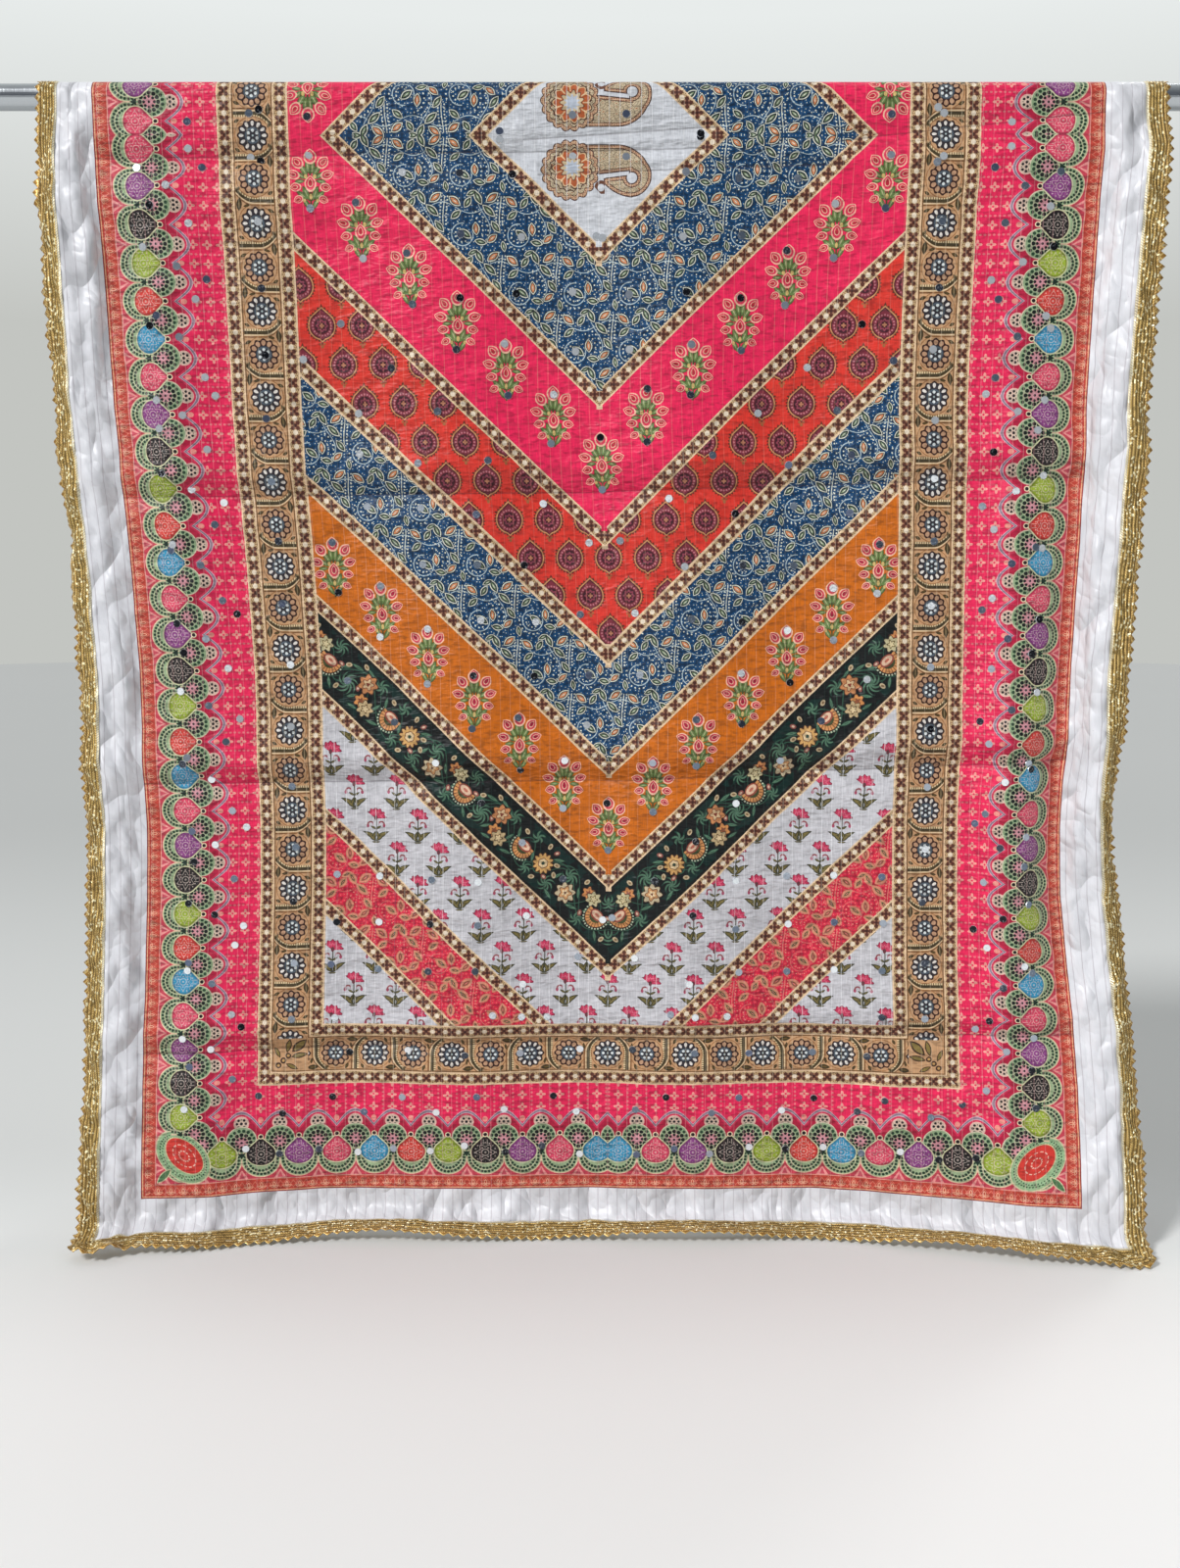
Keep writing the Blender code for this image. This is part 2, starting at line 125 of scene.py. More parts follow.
# Fine folds, millimetres: u and s at both ends, height, half width of the ridge
FRONT_FOLDS = (
    (-500, 82, 100, 72, -3.4, 20), (-160, 112, 200, 108, 1.8, 13), (-470, 132, -200, 126, 2.6, 15),
    (100, 100, 300, 75, 2, 14), (280, 72, 500, 40, 2.4, 15), (-360, 165, -50, 158, -1.2, 12),
    (-530, 408, -20, 402, -4, 26), (-20, 402, 500, 386, -3.6, 26), (-500, 697, 20, 694, -4.6, 28),
    (20, 694, 520, 670, -4.2, 28), (-530, 985, -50, 975, -3, 26), (-20, 975, 470, 960, -2.8, 26),
    (260, 1085, 420, 1010, 3.4, 16), (420, 1010, 540, 965, 2.2, 14), (-120, 230, -100, 560, 1, 18),
    (170, 420, 150, 900, 1, 20), (60, 740, 90, 980, 0.9, 16), (-270, 520, -250, 860, 1, 18),
    (-300, 1100, -100, 1120, -1.4, 14),
)
BACK_FOLDS = (
    (-420, -70, 60, -82, 2.4, 15), (20, -118, 400, -104, 2, 14), (-300, -150, -20, -140, 1.6, 13),
    (-520, -245, 0, -238, -3.8, 26), (0, -238, 520, -230, -3.6, 26), (-500, -530, 30, -524, -4.2, 28),
    (30, -524, 500, -512, -4, 28), (-500, -815, 0, -808, -3.4, 26), (0, -808, 530, -800, -3.2, 26),
    (-400, -960, -240, -870, 2.8, 15), (160, -300, 180, -760, 1, 18), (-140, -360, -110, -820, 1, 18),
)
# The same on the plain white edges, which crumple more
EDGE_HEIGHTEN, EDGE_BROADEN = 1.5, 1.25
EDGE_FOLDS = (
    (-520, 20, -505, 200, 4, 11), (-502, 130, -512, 420, 3.4, 10), (-524, 300, -508, 640, 3.6, 12),
    (-505, 560, -522, 860, 3, 10), (-516, 800, -504, 1080, 3.4, 12), (-498, 210, -530, 250, 2.2, 8),
    (-498, 330, -532, 300, 2.2, 8), (-499, 475, -532, 515, 2, 7), (-500, 600, -530, 570, 2.4, 8),
    (-499, 700, -532, 745, 2, 7), (-500, 905, -530, 870, 2.2, 8), (-499, 1010, -533, 1035, 1.8, 8),
    (506, 10, 520, 180, 3.4, 11), (518, 120, 504, 400, 3, 10), (506, 330, 524, 660, 3.6, 12),
    (522, 600, 503, 880, 3.2, 10), (508, 830, 520, 1060, 3, 12), (498, 160, 530, 200, 2.2, 8),
    (499, 290, 532, 255, 2, 8), (498, 445, 531, 480, 2.4, 7), (499, 590, 530, 560, 2, 8),
    (498, 735, 532, 770, 2.2, 7), (500, 930, 531, 900, 2, 8), (-510, -40, -520, -300, 3.4, 11),
    (-522, -240, -504, -560, 3.4, 12), (-504, -500, -524, -800, 3, 10), (-518, -740, -506, -990, 3, 11),
    (-499, -180, -531, -215, 2.2, 8), (-499, -410, -531, -370, 2.2, 8), (-499, -640, -531, -690, 2, 8),
    (-499, -880, -531, -850, 2.2, 8), (512, -30, 504, -280, 3.6, 11), (504, -230, 523, -540, 3.2, 12),
    (521, -480, 505, -780, 3.2, 10), (506, -720, 518, -980, 3, 11), (499, -130, 531, -170, 2.2, 8),
    (499, -350, 531, -320, 2, 8), (499, -590, 531, -630, 2.2, 8), (499, -860, 531, -820, 2.2, 8),
)
FOLD_SHARPNESS = 1.6
# Small ripples of the print and of the white edge: how many waves, their shortest and longest,
# the way they run and its spread in radians, then their heights
RIPPLES = ((26, 0.024, 0.075, math.pi / 2, 0.55), (22, 0.016, 0.048, 0.0, 0.5))
PRINT_RIPPLE, EDGE_RIPPLE = 0.00016, 0.00040
RIPPLE_SEED = 11
# They grow in below the rail, and change from print to white edge between these places
RIPPLES_GROW = (0.03, 0.10)
WHITE_ACROSS = (PRINT_HALF - 0.006, PRINT_HALF + 0.012)
WHITE_DOWN = (PRINT_END, PRINT_END + 0.02)
HEM_SHARE = 0.3

# The print, flat: chevron bands by q + SLOPE * |u|, the frame and the border
SLOPE = 0.95
ARM = math.hypot(1.0, SLOPE)
FRAME_INNER = (0.303, 0.8925)
FRAME_OUTER = (FIELD_HALF, 0.9594)
PRINT_EDGE = (PRINT_HALF, PRINT_END)
BANDS = (
    (0.103, "paisley_centre"), (0.121, "flower_trim"), (0.241, "blue_vine"),
    (0.259, "flower_trim"), (0.378, "pink_bouquet"), (0.396, "flower_trim"),
    (0.496, "red_medallion"), (0.516, "flower_trim"), (0.612, "blue_vine"),
    (0.631, "flower_trim"), (0.731, "orange_bouquet"), (0.749, "flower_trim"),
    (0.827, "black_floral"), (0.845, "flower_trim"), (0.950, "white_carnation"),
    (0.968, "flower_trim"), (1.046, "coral_vine"), (1.064, "flower_trim"),
    (9.0, "white_carnation"),
)
VINE_TILE = 55.3
# The cloth's mesh: thickness, size of a face, and how near two cuts may meet
SHELL = 0.0006
CELL = 0.006
CUT_REACH = 0.0002


def smooth(value, low, high):
    """Soft step from 0 at low to 1 at high."""
    t = np.clip((value - low) / (high - low), 0.0, 1.0)
    return t * t * (3.0 - 2.0 * t)


def headings(row, u):
    """Slope of the cloth across, in radians, and its share of lost width."""
    out = np.abs(u)
    wave, ease = row[3], row[2]
    angle = np.radians(wave) * np.sin(2 * math.pi * u / WAVE_LENGTH + WAVE_PHASE) * np.sign(u)
    angle *= 1.0 - smooth(out, FADE_START, FIELD_HALF)
    lost = np.full_like(u, ease)
    for side, first in ((-1, 4), (1, 8)):
        band, turn, lace, tuck = row[first:first + 4]
        on = (u * side) > 0
        fold = np.clip((out - FIELD_HALF) / (PRINT_HALF - FIELD_HALF), 0.0, 1.0)
        extra = np.radians(band) * np.sin(2 * math.pi * fold)
        extra += np.radians(turn) * smooth(out, *EDGE_TURN)
        extra += np.radians(lace * LACE_EASE - turn) * smooth(out, *LACE_TURN)
        angle = np.where(on, angle + extra, angle)
        lost = np.where(on & (out > PRINT_HALF), tuck, lost)
    return angle, lost


def section(row):
    """Sideways place and outward rise of the cloth at one height, u from edge to edge."""
    half = np.arange(0.0, HALF_WIDTH + SPARE, SUM_STEP)
    sides = []
    for side in (-1, 1):
        angle, lost = headings(row, half * side + side * 1e-9)
        run = np.cos(angle) * (1.0 - lost)
        rise = np.sin(angle)
        sides.append((np.concatenate(([0.0], np.cumsum((run[1:] + run[:-1]) / 2) * SUM_STEP)),
                      np.concatenate(([0.0], np.cumsum((rise[1:] + rise[:-1]) / 2) * SUM_STEP))))
    printed = half <= PRINT_HALF
    lowest = min(sides[0][1][printed].min(), sides[1][1][printed].min())
    x = np.concatenate((-sides[0][0][:0:-1], sides[1][0])) + row[1]
    y = np.concatenate((sides[0][1][:0:-1], sides[1][1])) - lowest
    return x, y


class Fall:
    """One hanging side of the cloth, with its lie worked out on a fine grid."""

    def __init__(self, hang, creases, corners, length, back):
        self.creases = creases
        self.corners = corners
        self.length = length - QUARTER_TURN
        self.back = back
        rows = np.array(hang)
        self.drops = np.arange(0.0, length + SPARE, DROP_STEP)
        sections = [section([np.interp(d, rows[:, 0], rows[:, i]) for i in range(12)])
                    for d in self.drops]
        self.x = np.array([x for x, _ in sections])
        self.rise = np.array([y for _, y in sections])
        half = np.arange(0.0, HALF_WIDTH + SPARE, SUM_STEP)
        self.across = np.concatenate((-half[:0:-1], half))

    def between(self, table, u, drop):
        """A table's value at places between its points."""
        r = np.clip(drop / DROP_STEP, 0, len(self.drops) - 1.001)
        c = np.clip((u - self.across[0]) / SUM_STEP, 0, len(self.across) - 1.001)
        r0, c0 = r.astype(int), c.astype(int)
        fr, fc = r - r0, c - c0
        upper = table[r0, c0] * (1 - fc) + table[r0, c0 + 1] * fc
        lower = table[r0 + 1, c0] * (1 - fc) + table[r0 + 1, c0 + 1] * fc
        return upper * (1 - fr) + lower * fr

    def bend(self, path, u):
        """Outward reach and drop of the bent hem."""
        if self.back:
            start, reach, top = FLARE_START, FLARE_REACH, np.full_like(u, math.radians(FLARE_ANGLE))
        else:
            start, reach = CURL_START, CURL_REACH
            top = np.radians(CURL_ANGLE + CURL_VARY * np.sin(2 * math.pi * u / CURL_WAVE))
        turned = np.clip(path - start, 0.0, None)
        out = np.zeros_like(u)
        down = np.minimum(path, start)
        steps = 12
        for i in range(steps):
            angle = top * smooth(turned * (i + 0.5) / steps, 0.0, reach)
            out += np.sin(angle) * turned / steps
            down += np.cos(angle) * turned / steps
        return out, down

    def places(self, u, along):
        """Points of the middle surface at flat places, along measured from the crest."""
        sign = 1.0 if self.back else -1.0
        out, down = self.bend(along, u)
        drop = down - QUARTER_TURN
        hang = np.maximum(along - QUARTER_TURN, 0.0)
        x = self.between(self.x, u, hang)
        rise = self.between(self.rise, u, hang)
        for at, tilt, lift, reach in self.creases:
            away = np.abs(drop - at + tilt * u) / reach
            rise += lift * np.clip(1.0 - away, 0.0, 1.0) ** 2
        for side, swing, top, inner in self.corners:
            rise += swing * smooth(u * side, inner, HALF_WIDTH) * smooth(drop, top, self.length)
        y = sign * (MID_RADIUS + out + rise * smooth(drop, 0.0, FOLDS_DROP))
        turn = np.minimum(along / MID_RADIUS, math.pi / 2)
        wrapped = along <= QUARTER_TURN
        y = np.where(wrapped, sign * MID_RADIUS * np.sin(turn), y)
        z = np.where(wrapped, MID_RADIUS * np.cos(turn), -drop)
        return np.stack([x, y, z], axis=1)


FRONT = Fall(FRONT_HANG, FRONT_CREASES, FRONT_CORNERS, FRONT_END, False)
BACK = Fall(BACK_HANG, BACK_CREASES, BACK_CORNERS, BACK_END, True)


def lie(u, s):
    """Points of the cloth's middle surface for flat places (u, s)."""
    points = FRONT.places(u, np.abs(s))
    behind = s < 0
    points[behind] = BACK.places(u[behind], -s[behind])
    return points


def facing(u, s):
    """Unit vectors that point out of the cloth's right side."""
    step = 0.003
    across = lie(u + step, s) - lie(u - step, s)
    along = lie(u, s + step) - lie(u, s - step)
    normal = np.cross(along, across)
    return normal / np.linalg.norm(normal, axis=1)[:, None]


def folds(u, s):
    """Outward height of the listed fine folds, and of the small ripples."""
    rise = np.zeros_like(u)
    edges = np.array(EDGE_FOLDS) * (1.0, 1.0, 1.0, 1.0, EDGE_HEIGHTEN, EDGE_BROADEN)
    for u0, s0, u1, s1, height, reach in np.concatenate((FRONT_FOLDS, BACK_FOLDS, edges)) / 1000:
        length = math.hypot(u1 - u0, s1 - s0)
        du, ds = (u1 - u0) / length, (s1 - s0) / length
        along = (u - u0) * du + (s - s0) * ds
        away = np.abs((s - s0) * du - (u - u0) * ds) / reach
        ends = smooth(along, -reach, reach * 2) * (1 - smooth(along, length - reach * 2, length + reach))
        rise += height * np.clip(1.0 - away, 0.0, 1.0) ** FOLD_SHARPNESS * ends
    hanging = smooth(np.abs(s), *RIPPLES_GROW)
    draw = np.random.default_rng(RIPPLE_SEED)
    heights = []
    for count, shortest, longest, middle, spread in RIPPLES:
        height = np.zeros_like(u)
        for _ in range(count):
            length = draw.uniform(shortest, longest)
            lean = draw.normal(middle, spread)
            phase = draw.uniform(0, 2 * math.pi)
            height += np.sin(2 * math.pi * (u * math.cos(lean) + s * math.sin(lean)) / length + phase)
        heights.append(height)
    white = smooth(np.abs(u), *WHITE_ACROSS)
    white = np.maximum(white, smooth(s - CENTRE_DROP, *WHITE_DOWN) * HEM_SHARE)
    rise += hanging * (heights[0] * PRINT_RIPPLE * (1 - white) + heights[1] * EDGE_RIPPLE * white)
    return rise


def settle(mesh, outward, u, s):
    """Move flat vertices to where the cloth hangs, a little outward of its middle."""
    points = lie(u, s) + facing(u, s) * outward[:, None]
    mesh.vertices.foreach_set("co", points.astype(np.float32).ravel())
    mesh.update()


def flat_grid(shape, columns, rows):
    """A flat grid with a point at each column and row."""
    bmesh.ops.create_grid(shape, x_segments=len(columns) - 1, y_segments=len(rows) - 1, size=1.0)
    for vert in shape.verts:
        c = round((vert.co.x + 1) / 2 * (len(columns) - 1))
        r = round((vert.co.y + 1) / 2 * (len(rows) - 1))
        vert.co = (columns[c], rows[r], 0.0)


def in_quarter(face, sides):
    """Whether a face lies in one quarter of the field within the frame."""
    middle = face.calc_center_median()
    return (middle.x * sides[0] > 0 and middle.y * sides[1] > 0
            and abs(middle.x) < FRAME_INNER[0] and abs(middle.y) < FRAME_INNER[1])


def cut(shape, point, normal, sides=None):
    """Cut along a line through all faces, or through those of one quarter of the field."""
    faces = [face for face in shape.faces if sides is None or in_quarter(face, sides)]
    geom = faces + list({edge for face in faces for edge in face.edges})
    geom += list({vert for face in faces for vert in face.verts})
    bmesh.ops.bisect_plane(shape, geom=geom, dist=CUT_REACH, plane_co=(*point, 0.0),
                           plane_no=(*normal, 0.0))


def panel_at(u, q):
    """Name of the print panel at a flat place."""
    u, q = abs(u), abs(q)
    if u > PRINT_EDGE[0] or q > PRINT_EDGE[1]:
        return "white_edge"
    if u > FRAME_OUTER[0] or q > FRAME_OUTER[1]:
        return "drop_border"
    if u > FRAME_INNER[0] or q > FRAME_INNER[1]:
        return "rosette_frame"
    return next(name for edge, name in BANDS if q + SLOPE * u < edge)


def link(name, mesh):
    """An object of that mesh in the scene."""
    thing = bpy.data.objects.new(name, mesh)
    bpy.context.scene.collection.objects.link(thing)
    return thing


def mesh_of(shape, name, materials):
    """A finished shape as a mesh, with its materials."""
    mesh = bpy.data.meshes.new(name)
    shape.to_mesh(mesh)
    shape.free()
    for material in materials:
        mesh.materials.append(material)
    return mesh


def finished(thing, name):
    """The object with its modifiers made real."""
    graph = bpy.context.evaluated_depsgraph_get()
    mesh = bpy.data.meshes.new_from_object(thing.evaluated_get(graph))
    mesh.name = name
    bpy.data.objects.remove(thing, do_unlink=True)
    return link(name, mesh)


def shell(thing, thickness, reverse=0):
    """Thicken both ways; reverse moves the wrong side that many materials on."""
    solid = thing.modifiers.new("thickness", "SOLIDIFY")
    solid.thickness = thickness
    solid.offset = 0.0
    solid.material_offset = reverse
    solid.use_even_offset = False


def cloth(name, rows, finishes):
    """One stretch of the printed cloth, a thin shell cut along the print's lines."""
    shape = bmesh.new()
    columns = np.linspace(-CLOTH_EDGE, CLOTH_EDGE, round(2 * CLOTH_EDGE / CELL) + 1)
    flat_grid(shape, columns, rows)
    for vert in shape.verts:
        vert.co.y -= CENTRE_DROP
    for half_u, half_q in (FRAME_INNER, FRAME_OUTER, PRINT_EDGE):
        for side in (-1, 1):
            cut(shape, (side * half_u, 0.0), (1.0, 0.0))
            cut(shape, (0.0, side * half_q), (0.0, 1.0))
    cut(shape, (0.0, 0.0), (0.0, 1.0))
    for side_u in (-1, 1):
        for side_q in (-1, 1):
            if (side_q * (rows - CENTRE_DROP)).max() < 0:
                continue
            for edge, _ in BANDS[:-1]:
                cut(shape, (0.0, side_q * edge), (SLOPE * side_u, side_q), (side_u, side_q))
    bmesh.ops.reverse_faces(shape, faces=shape.faces)
    flat = shape.loops.layers.uv.new("cloth_flat")
    panels = list(finishes)
    for face in shape.faces:
        face.smooth = True
        middle = face.calc_center_median()
        face.material_index = panels.index(panel_at(middle.x, middle.y))
        for loop in face.loops:
            loop[flat].uv = (loop.vert.co.x, loop.vert.co.y)
    mesh = mesh_of(shape, name, finishes.values())
    co = np.zeros(len(mesh.vertices) * 3, np.float32)
    mesh.vertices.foreach_get("co", co)
    u = co[0::3].astype(float)
    s = co[1::3].astype(float) + CENTRE_DROP
    settle(mesh, folds(u, s), u, s)
    thing = link(name + "_middle", mesh)
    shell(thing, SHELL, len(panels))
    thing = finished(thing, name)
    bake_map(thing.data, len(panels) - 1)
    return thing


# The map for baking: where each side of the cloth starts, and its share of the map
WRONG_STRIP, RIGHT_STRIP, MAP_HEIGHT = (0.945, 0.05), (0.005, 0.93), (0.004, 0.992)


def bake_map(mesh, reverse):
    """A second map for baking: the right side fills it, the reverse takes a strip."""
    count = len(mesh.loops)
    flat = np.zeros(count * 2, np.float32)
    mesh.uv_layers["cloth_flat"].data.foreach_get("uv", flat)
    flat = flat.reshape(-1, 2)
    low, high = flat.min(0), flat.max(0)
    place = (flat - low) / (high - low)
    slots = np.zeros(len(mesh.polygons), np.int32)
    mesh.polygons.foreach_get("material_index", slots)
    totals = np.zeros(len(mesh.polygons), np.int32)
    mesh.polygons.foreach_get("loop_total", totals)
    behind = np.repeat(slots == reverse, totals)
    strip = [start + share * place[:, 0] for start, share in (WRONG_STRIP, RIGHT_STRIP)]
    place[:, 0] = np.where(behind, *strip)
    place[:, 1] = MAP_HEIGHT[0] + MAP_HEIGHT[1] * place[:, 1]
    layer = mesh.uv_layers.new(name="OFBake")
    layer.data.foreach_set("uv", place.astype(np.float32).ravel())


# Lace: places across it from the inner edge, and the relief of its cords
LACE_ACROSS = (-0.0012, 0.0004, 0.0024, 0.0044, 0.0064, 0.0084, 0.0104, 0.0124, 0.0144, 0.0164,
               0.0184, 0.0194, 0.0240)
LACE_RELIEF = (0.0, 0.5, 0.9, 0.25, 0.8, 0.25, 0.8, 0.25, 0.8, 0.25, 0.9, 0.1, 0.3)
LACE_LIFT = 0.0007
# Points along each tooth, the ribbon left below its valleys, and how fast the corners mitre
TOOTH_POINTS, VALLEY, MITRE = 4, 0.0002, 4 / 3.9
# A little more than rounding can move a point
SLIGHT = 0.0001


def tooth(run):
    """Reach of the teeth, 0 in the valleys and 1 at the tips."""
    return 1.0 - np.abs(np.mod(run / TOOTH_PITCH, 1.0) - 0.5) * 2.0


def lace(name, end, finish):
    """Lace down both sides of one fall and across its hem."""
    sign = math.copysign(1.0, end)
    across = np.array(LACE_ACROSS)
    relief = np.array(LACE_RELIEF) * LACE_LIFT
    u_all, s_all, lift_all = [], [], []
    shape = bmesh.new()
    start = -QUARTER_TURN
    inner = end - sign * LACE_WIDTH
    hem = HALF_WIDTH - TOOTH_HEIGHT
    runs = [(-1, start, inner), (1, start, inner), (0, -hem, hem)]
    ribbon = shape.loops.layers.uv.new("lace_flat")
    for side, first, last in runs:
        count = TOOTH_POINTS * round(abs(last - first) / TOOTH_PITCH)
        steps = np.linspace(0.0, 1.0, count + 1)
        before = len(shape.verts)
        bmesh.ops.create_grid(shape, x_segments=len(across) - 1, y_segments=count, size=1.0)
        shape.verts.ensure_lookup_table()
        for vert in shape.verts[before:]:
            c = round((vert.co.x + 1) / 2 * (len(across) - 1))
            r = round((vert.co.y + 1) / 2 * count)
            run = steps[r] * count * TOOTH_PITCH / TOOTH_POINTS
            t = across[c]
            if c == len(across) - 1:
                t = LACE_WIDTH - TOOTH_HEIGHT + (TOOTH_HEIGHT - VALLEY) * tooth(run) + VALLEY
            if side:
                u, s = side * (CLOTH_EDGE + t), first + (last - first) * steps[r]
            else:
                u, s = first + (last - first) * steps[r], inner + sign * t
                if r in (0, count):
                    u += math.copysign(TOOTH_HEIGHT * float(tooth(max(t, 0.0) * MITRE)), u)
            vert.co = (u, s, 0.0)
            u_all.append(u)
            s_all.append(s)
            lift_all.append(SHELL / 2 + relief[c])
    bmesh.ops.reverse_faces(shape, faces=shape.faces)
    for face in shape.faces:
        face.smooth = True
    shape.verts.index_update()
    for face in shape.faces:
        for loop in face.loops:
            x, y = loop.vert.co.x, loop.vert.co.y
            below, beside = (y - inner) * sign, abs(x) - CLOTH_EDGE
            on_hem = below > max(LACE_ACROSS[0], beside) - SLIGHT
            loop[ribbon].uv = (below, x) if on_hem else (beside, y)
    mesh = mesh_of(shape, name, [finish])
    u, s, lift = np.array(u_all), np.array(s_all), np.array(lift_all)
    settle(mesh, lift + folds(u, s), u, s)
    thing = link(name + "_middle", mesh)
    shell(thing, SHELL)
    return finished(thing, name)


MIRROR_RADIUS, MIRROR_THICKNESS, MIRROR_BEVEL, MIRROR_SIDES = 0.0041, 0.0008, 0.0004, 14
# Rows of mirrors on the print, millimetres: u and q of the first, step to the next, how many
MIRROR_LINES = (
    (0, 288.9, 47.2, -45.1, 7), (0, 339.4, 47.2, -45.1, 8), (0, 657.5, 47.2, -44.2, 7),
    (0, 708, 47.2, -44.2, 7), (16, 392, 49, -43, 6), (30, 464, 53, -50, 6), (3, 781, 45, -42, 7),
    (30, 823, 0, 50, 1), (88, 775, 0, 73, 2), (139, 738, 0, 49, 3), (190, 737, 0, 49, 3),
    (243, 735, 0, 49.5, 3), (292, 734, 0, 50, 4), (64, 882, 30, 1, 3), (100, 2, 0, 50, 1),
    (4, 94, 0, 50, 1), (84, 38, 0, 50, 1), (26, 22, 0, 50, 1), (338, 20, 0, 62, 15),
    (30, 925, 62, 0, 5), (400, 12, 0, 72.4, 14), (420, 50, 0, 72.4, 13), (389, 30, 0, 108, 9),
    (450, 36, 0, 72.4, 14), (444, 67, 0, 108.6, 9), (30, 989, 78, 0, 5), (62, 974, 78, 0, 5),
    (31, 1036, 79.6, 0, 5), (70, 1030, 79.6, 0, 5),
)
# A mirror in every ring of the vine: the first ring, and the edges of its band
RING_GRIDS = ((-79.6, 149.0, 127.0, 235.0), (-188.5, 414.0, 522.0, 606.0))
RING_COUNT, RING_EDGE = 12, 297.0
# How far hand sewing drifts, millimetres, and how much it tips a mirror
LINE_DRIFT, RING_DRIFT, LEAN_DRIFT = 1.8, 1.6, 0.035
# Rows stop just past the middle line; none is sewn near the rail or the hems
PAST_MIDDLE = -4.0
RAIL_CLEAR, FRONT_CLEAR, BACK_CLEAR = 0.030, 0.07, 0.05
FRONT_SEED, BACK_SEED, LEAN_SEED = 5, 6, 21


def mirror_places(front):
    """Flat places and painted reflection tones of the mirrors of one fall, with a little hand-sewn drift.
    """
    draw = np.random.default_rng(FRONT_SEED if front else BACK_SEED)
    found = []
    for u0, q0, du, dq, count in MIRROR_LINES:
        for side in (-1, 1):
            for i in range(count):
                u = (u0 + du * i) * side + draw.normal(0.0, LINE_DRIFT)
                q = q0 + dq * i + draw.normal(0.0, LINE_DRIFT)
                # shade: which painted reflection tone this mirror gets
                shade = draw.uniform(0.0, 1.0)
                if (u0 == 0 and i == 0 and side < 0) or q < PAST_MIDDLE:
                    continue
                found.append((u / 1000, q / 1000, shade))
                if front and q < CENTRE_DROP * 1000:
                    found.append((u / 1000, -q / 1000, draw.uniform(0.0, 1.0)))
    for u0, q0, low, high in RING_GRIDS:
        for i in range(-RING_COUNT, RING_COUNT + 1):
            for j in range(-RING_COUNT, RING_COUNT + 1):
                u = u0 + VINE_TILE * i + draw.normal(0.0, RING_DRIFT)
                q = q0 + VINE_TILE * j + draw.normal(0.0, RING_DRIFT)
                if low < q + SLOPE * abs(u) < high and abs(u) < RING_EDGE and q > 0.0:
                    found.append((u / 1000, q / 1000, draw.uniform(0.0, 1.0)))
    sign = 1.0 if front else -1.0
    low, high = (RAIL_CLEAR, FRONT_END - FRONT_CLEAR) if front else (BACK_CLEAR - BACK_END, -RAIL_CLEAR)
    places = [(u, sign * q + CENTRE_DROP, shade) for u, q, shade in found]
    return [place for place in places if low < place[1] < high]


def mirrors(name, front, finish):
    """Thin round mirrors with a sloped edge, sewn flat on one fall."""
    places = mirror_places(front)
    u, s, _ = np.array(places).T
    out = facing(u, s)
    points = lie(u, s) + out * (folds(u, s) + SHELL / 2 + MIRROR_THICKNESS / 2)[:, None]
    draw = np.random.default_rng(LEAN_SEED)
    shape = bmesh.new()
    # Each mirror's painted reflection tone, kept in a map
    reflection_tone_map = shape.loops.layers.uv.new("mirror_shade")
    for point, normal, (_, _, shade) in zip(points, out, places):
        lean = Vector(normal) + Vector(draw.normal(0.0, LEAN_DRIFT, 3))
        turn = lean.to_track_quat("Z", "Y").to_matrix().to_4x4()
        before = len(shape.faces)
        bmesh.ops.create_cone(shape, cap_ends=True, segments=MIRROR_SIDES, radius1=MIRROR_RADIUS,
                              radius2=MIRROR_RADIUS - MIRROR_BEVEL, depth=MIRROR_THICKNESS,
                              matrix=Matrix.Translation(Vector(point)) @ turn)
        shape.faces.ensure_lookup_table()
        for face in shape.faces[before:]:
            top = len(face.verts) > 4
            for loop in face.loops:
                loop[reflection_tone_map].uv = (shade, 0.0 if top else 1.0)
    return link(name, mesh_of(shape, name, [finish]))


# Finishes. In the prints, lengths are millimetres on the cloth and colours run from 0 to 255
def linear(red, green, blue):
    """A colour from its everyday 0 to 255 values."""
    parts = [c / 255 for c in (red, green, blue)]
    return tuple(c / 12.92 if c <= 0.04045 else ((c + 0.055) / 1.055) ** 2.4 for c in parts) + (1.0,)


def sums(operation, swapped=False):
    """A Value method that adds one Math node."""
    def method(self, other=0.0):
        return self.nodes.node("ShaderNodeMath", {"operation": operation},
                               (other, self) if swapped else (self, other))
    return method


class Value:
    """A shader socket that works in sums: & keeps the least and | the most."""

    def __init__(self, nodes, socket):
        self.nodes = nodes
        self.socket = socket

    __add__ = __radd__ = sums("ADD")
    __sub__ = sums("SUBTRACT")
    __rsub__ = sums("SUBTRACT", True)
    __mul__ = __rmul__ = sums("MULTIPLY")
    __truediv__ = sums("DIVIDE")
    __mod__ = sums("FLOORED_MODULO")
    __lt__ = sums("LESS_THAN")
    __gt__ = sums("GREATER_THAN")
    __and__ = __rand__ = sums("MINIMUM")
    __or__ = __ror__ = sums("MAXIMUM")
    __abs__ = sums("ABSOLUTE")
    __round__ = sums("ROUND")
    cosine = sums("COSINE")
    sine = sums("SINE")

    def near(self, centre, reach):
        """1 within reach of centre."""
        return self.nodes.node("ShaderNodeMath", {"operation": "COMPARE"}, (self, centre, reach))

    def repeated(self, pitch):
        """Distance from the middle of each repeat."""
        return self.nodes.node("ShaderNodeMath", {"operation": "WRAP"}, (self, pitch / 2, -pitch / 2))


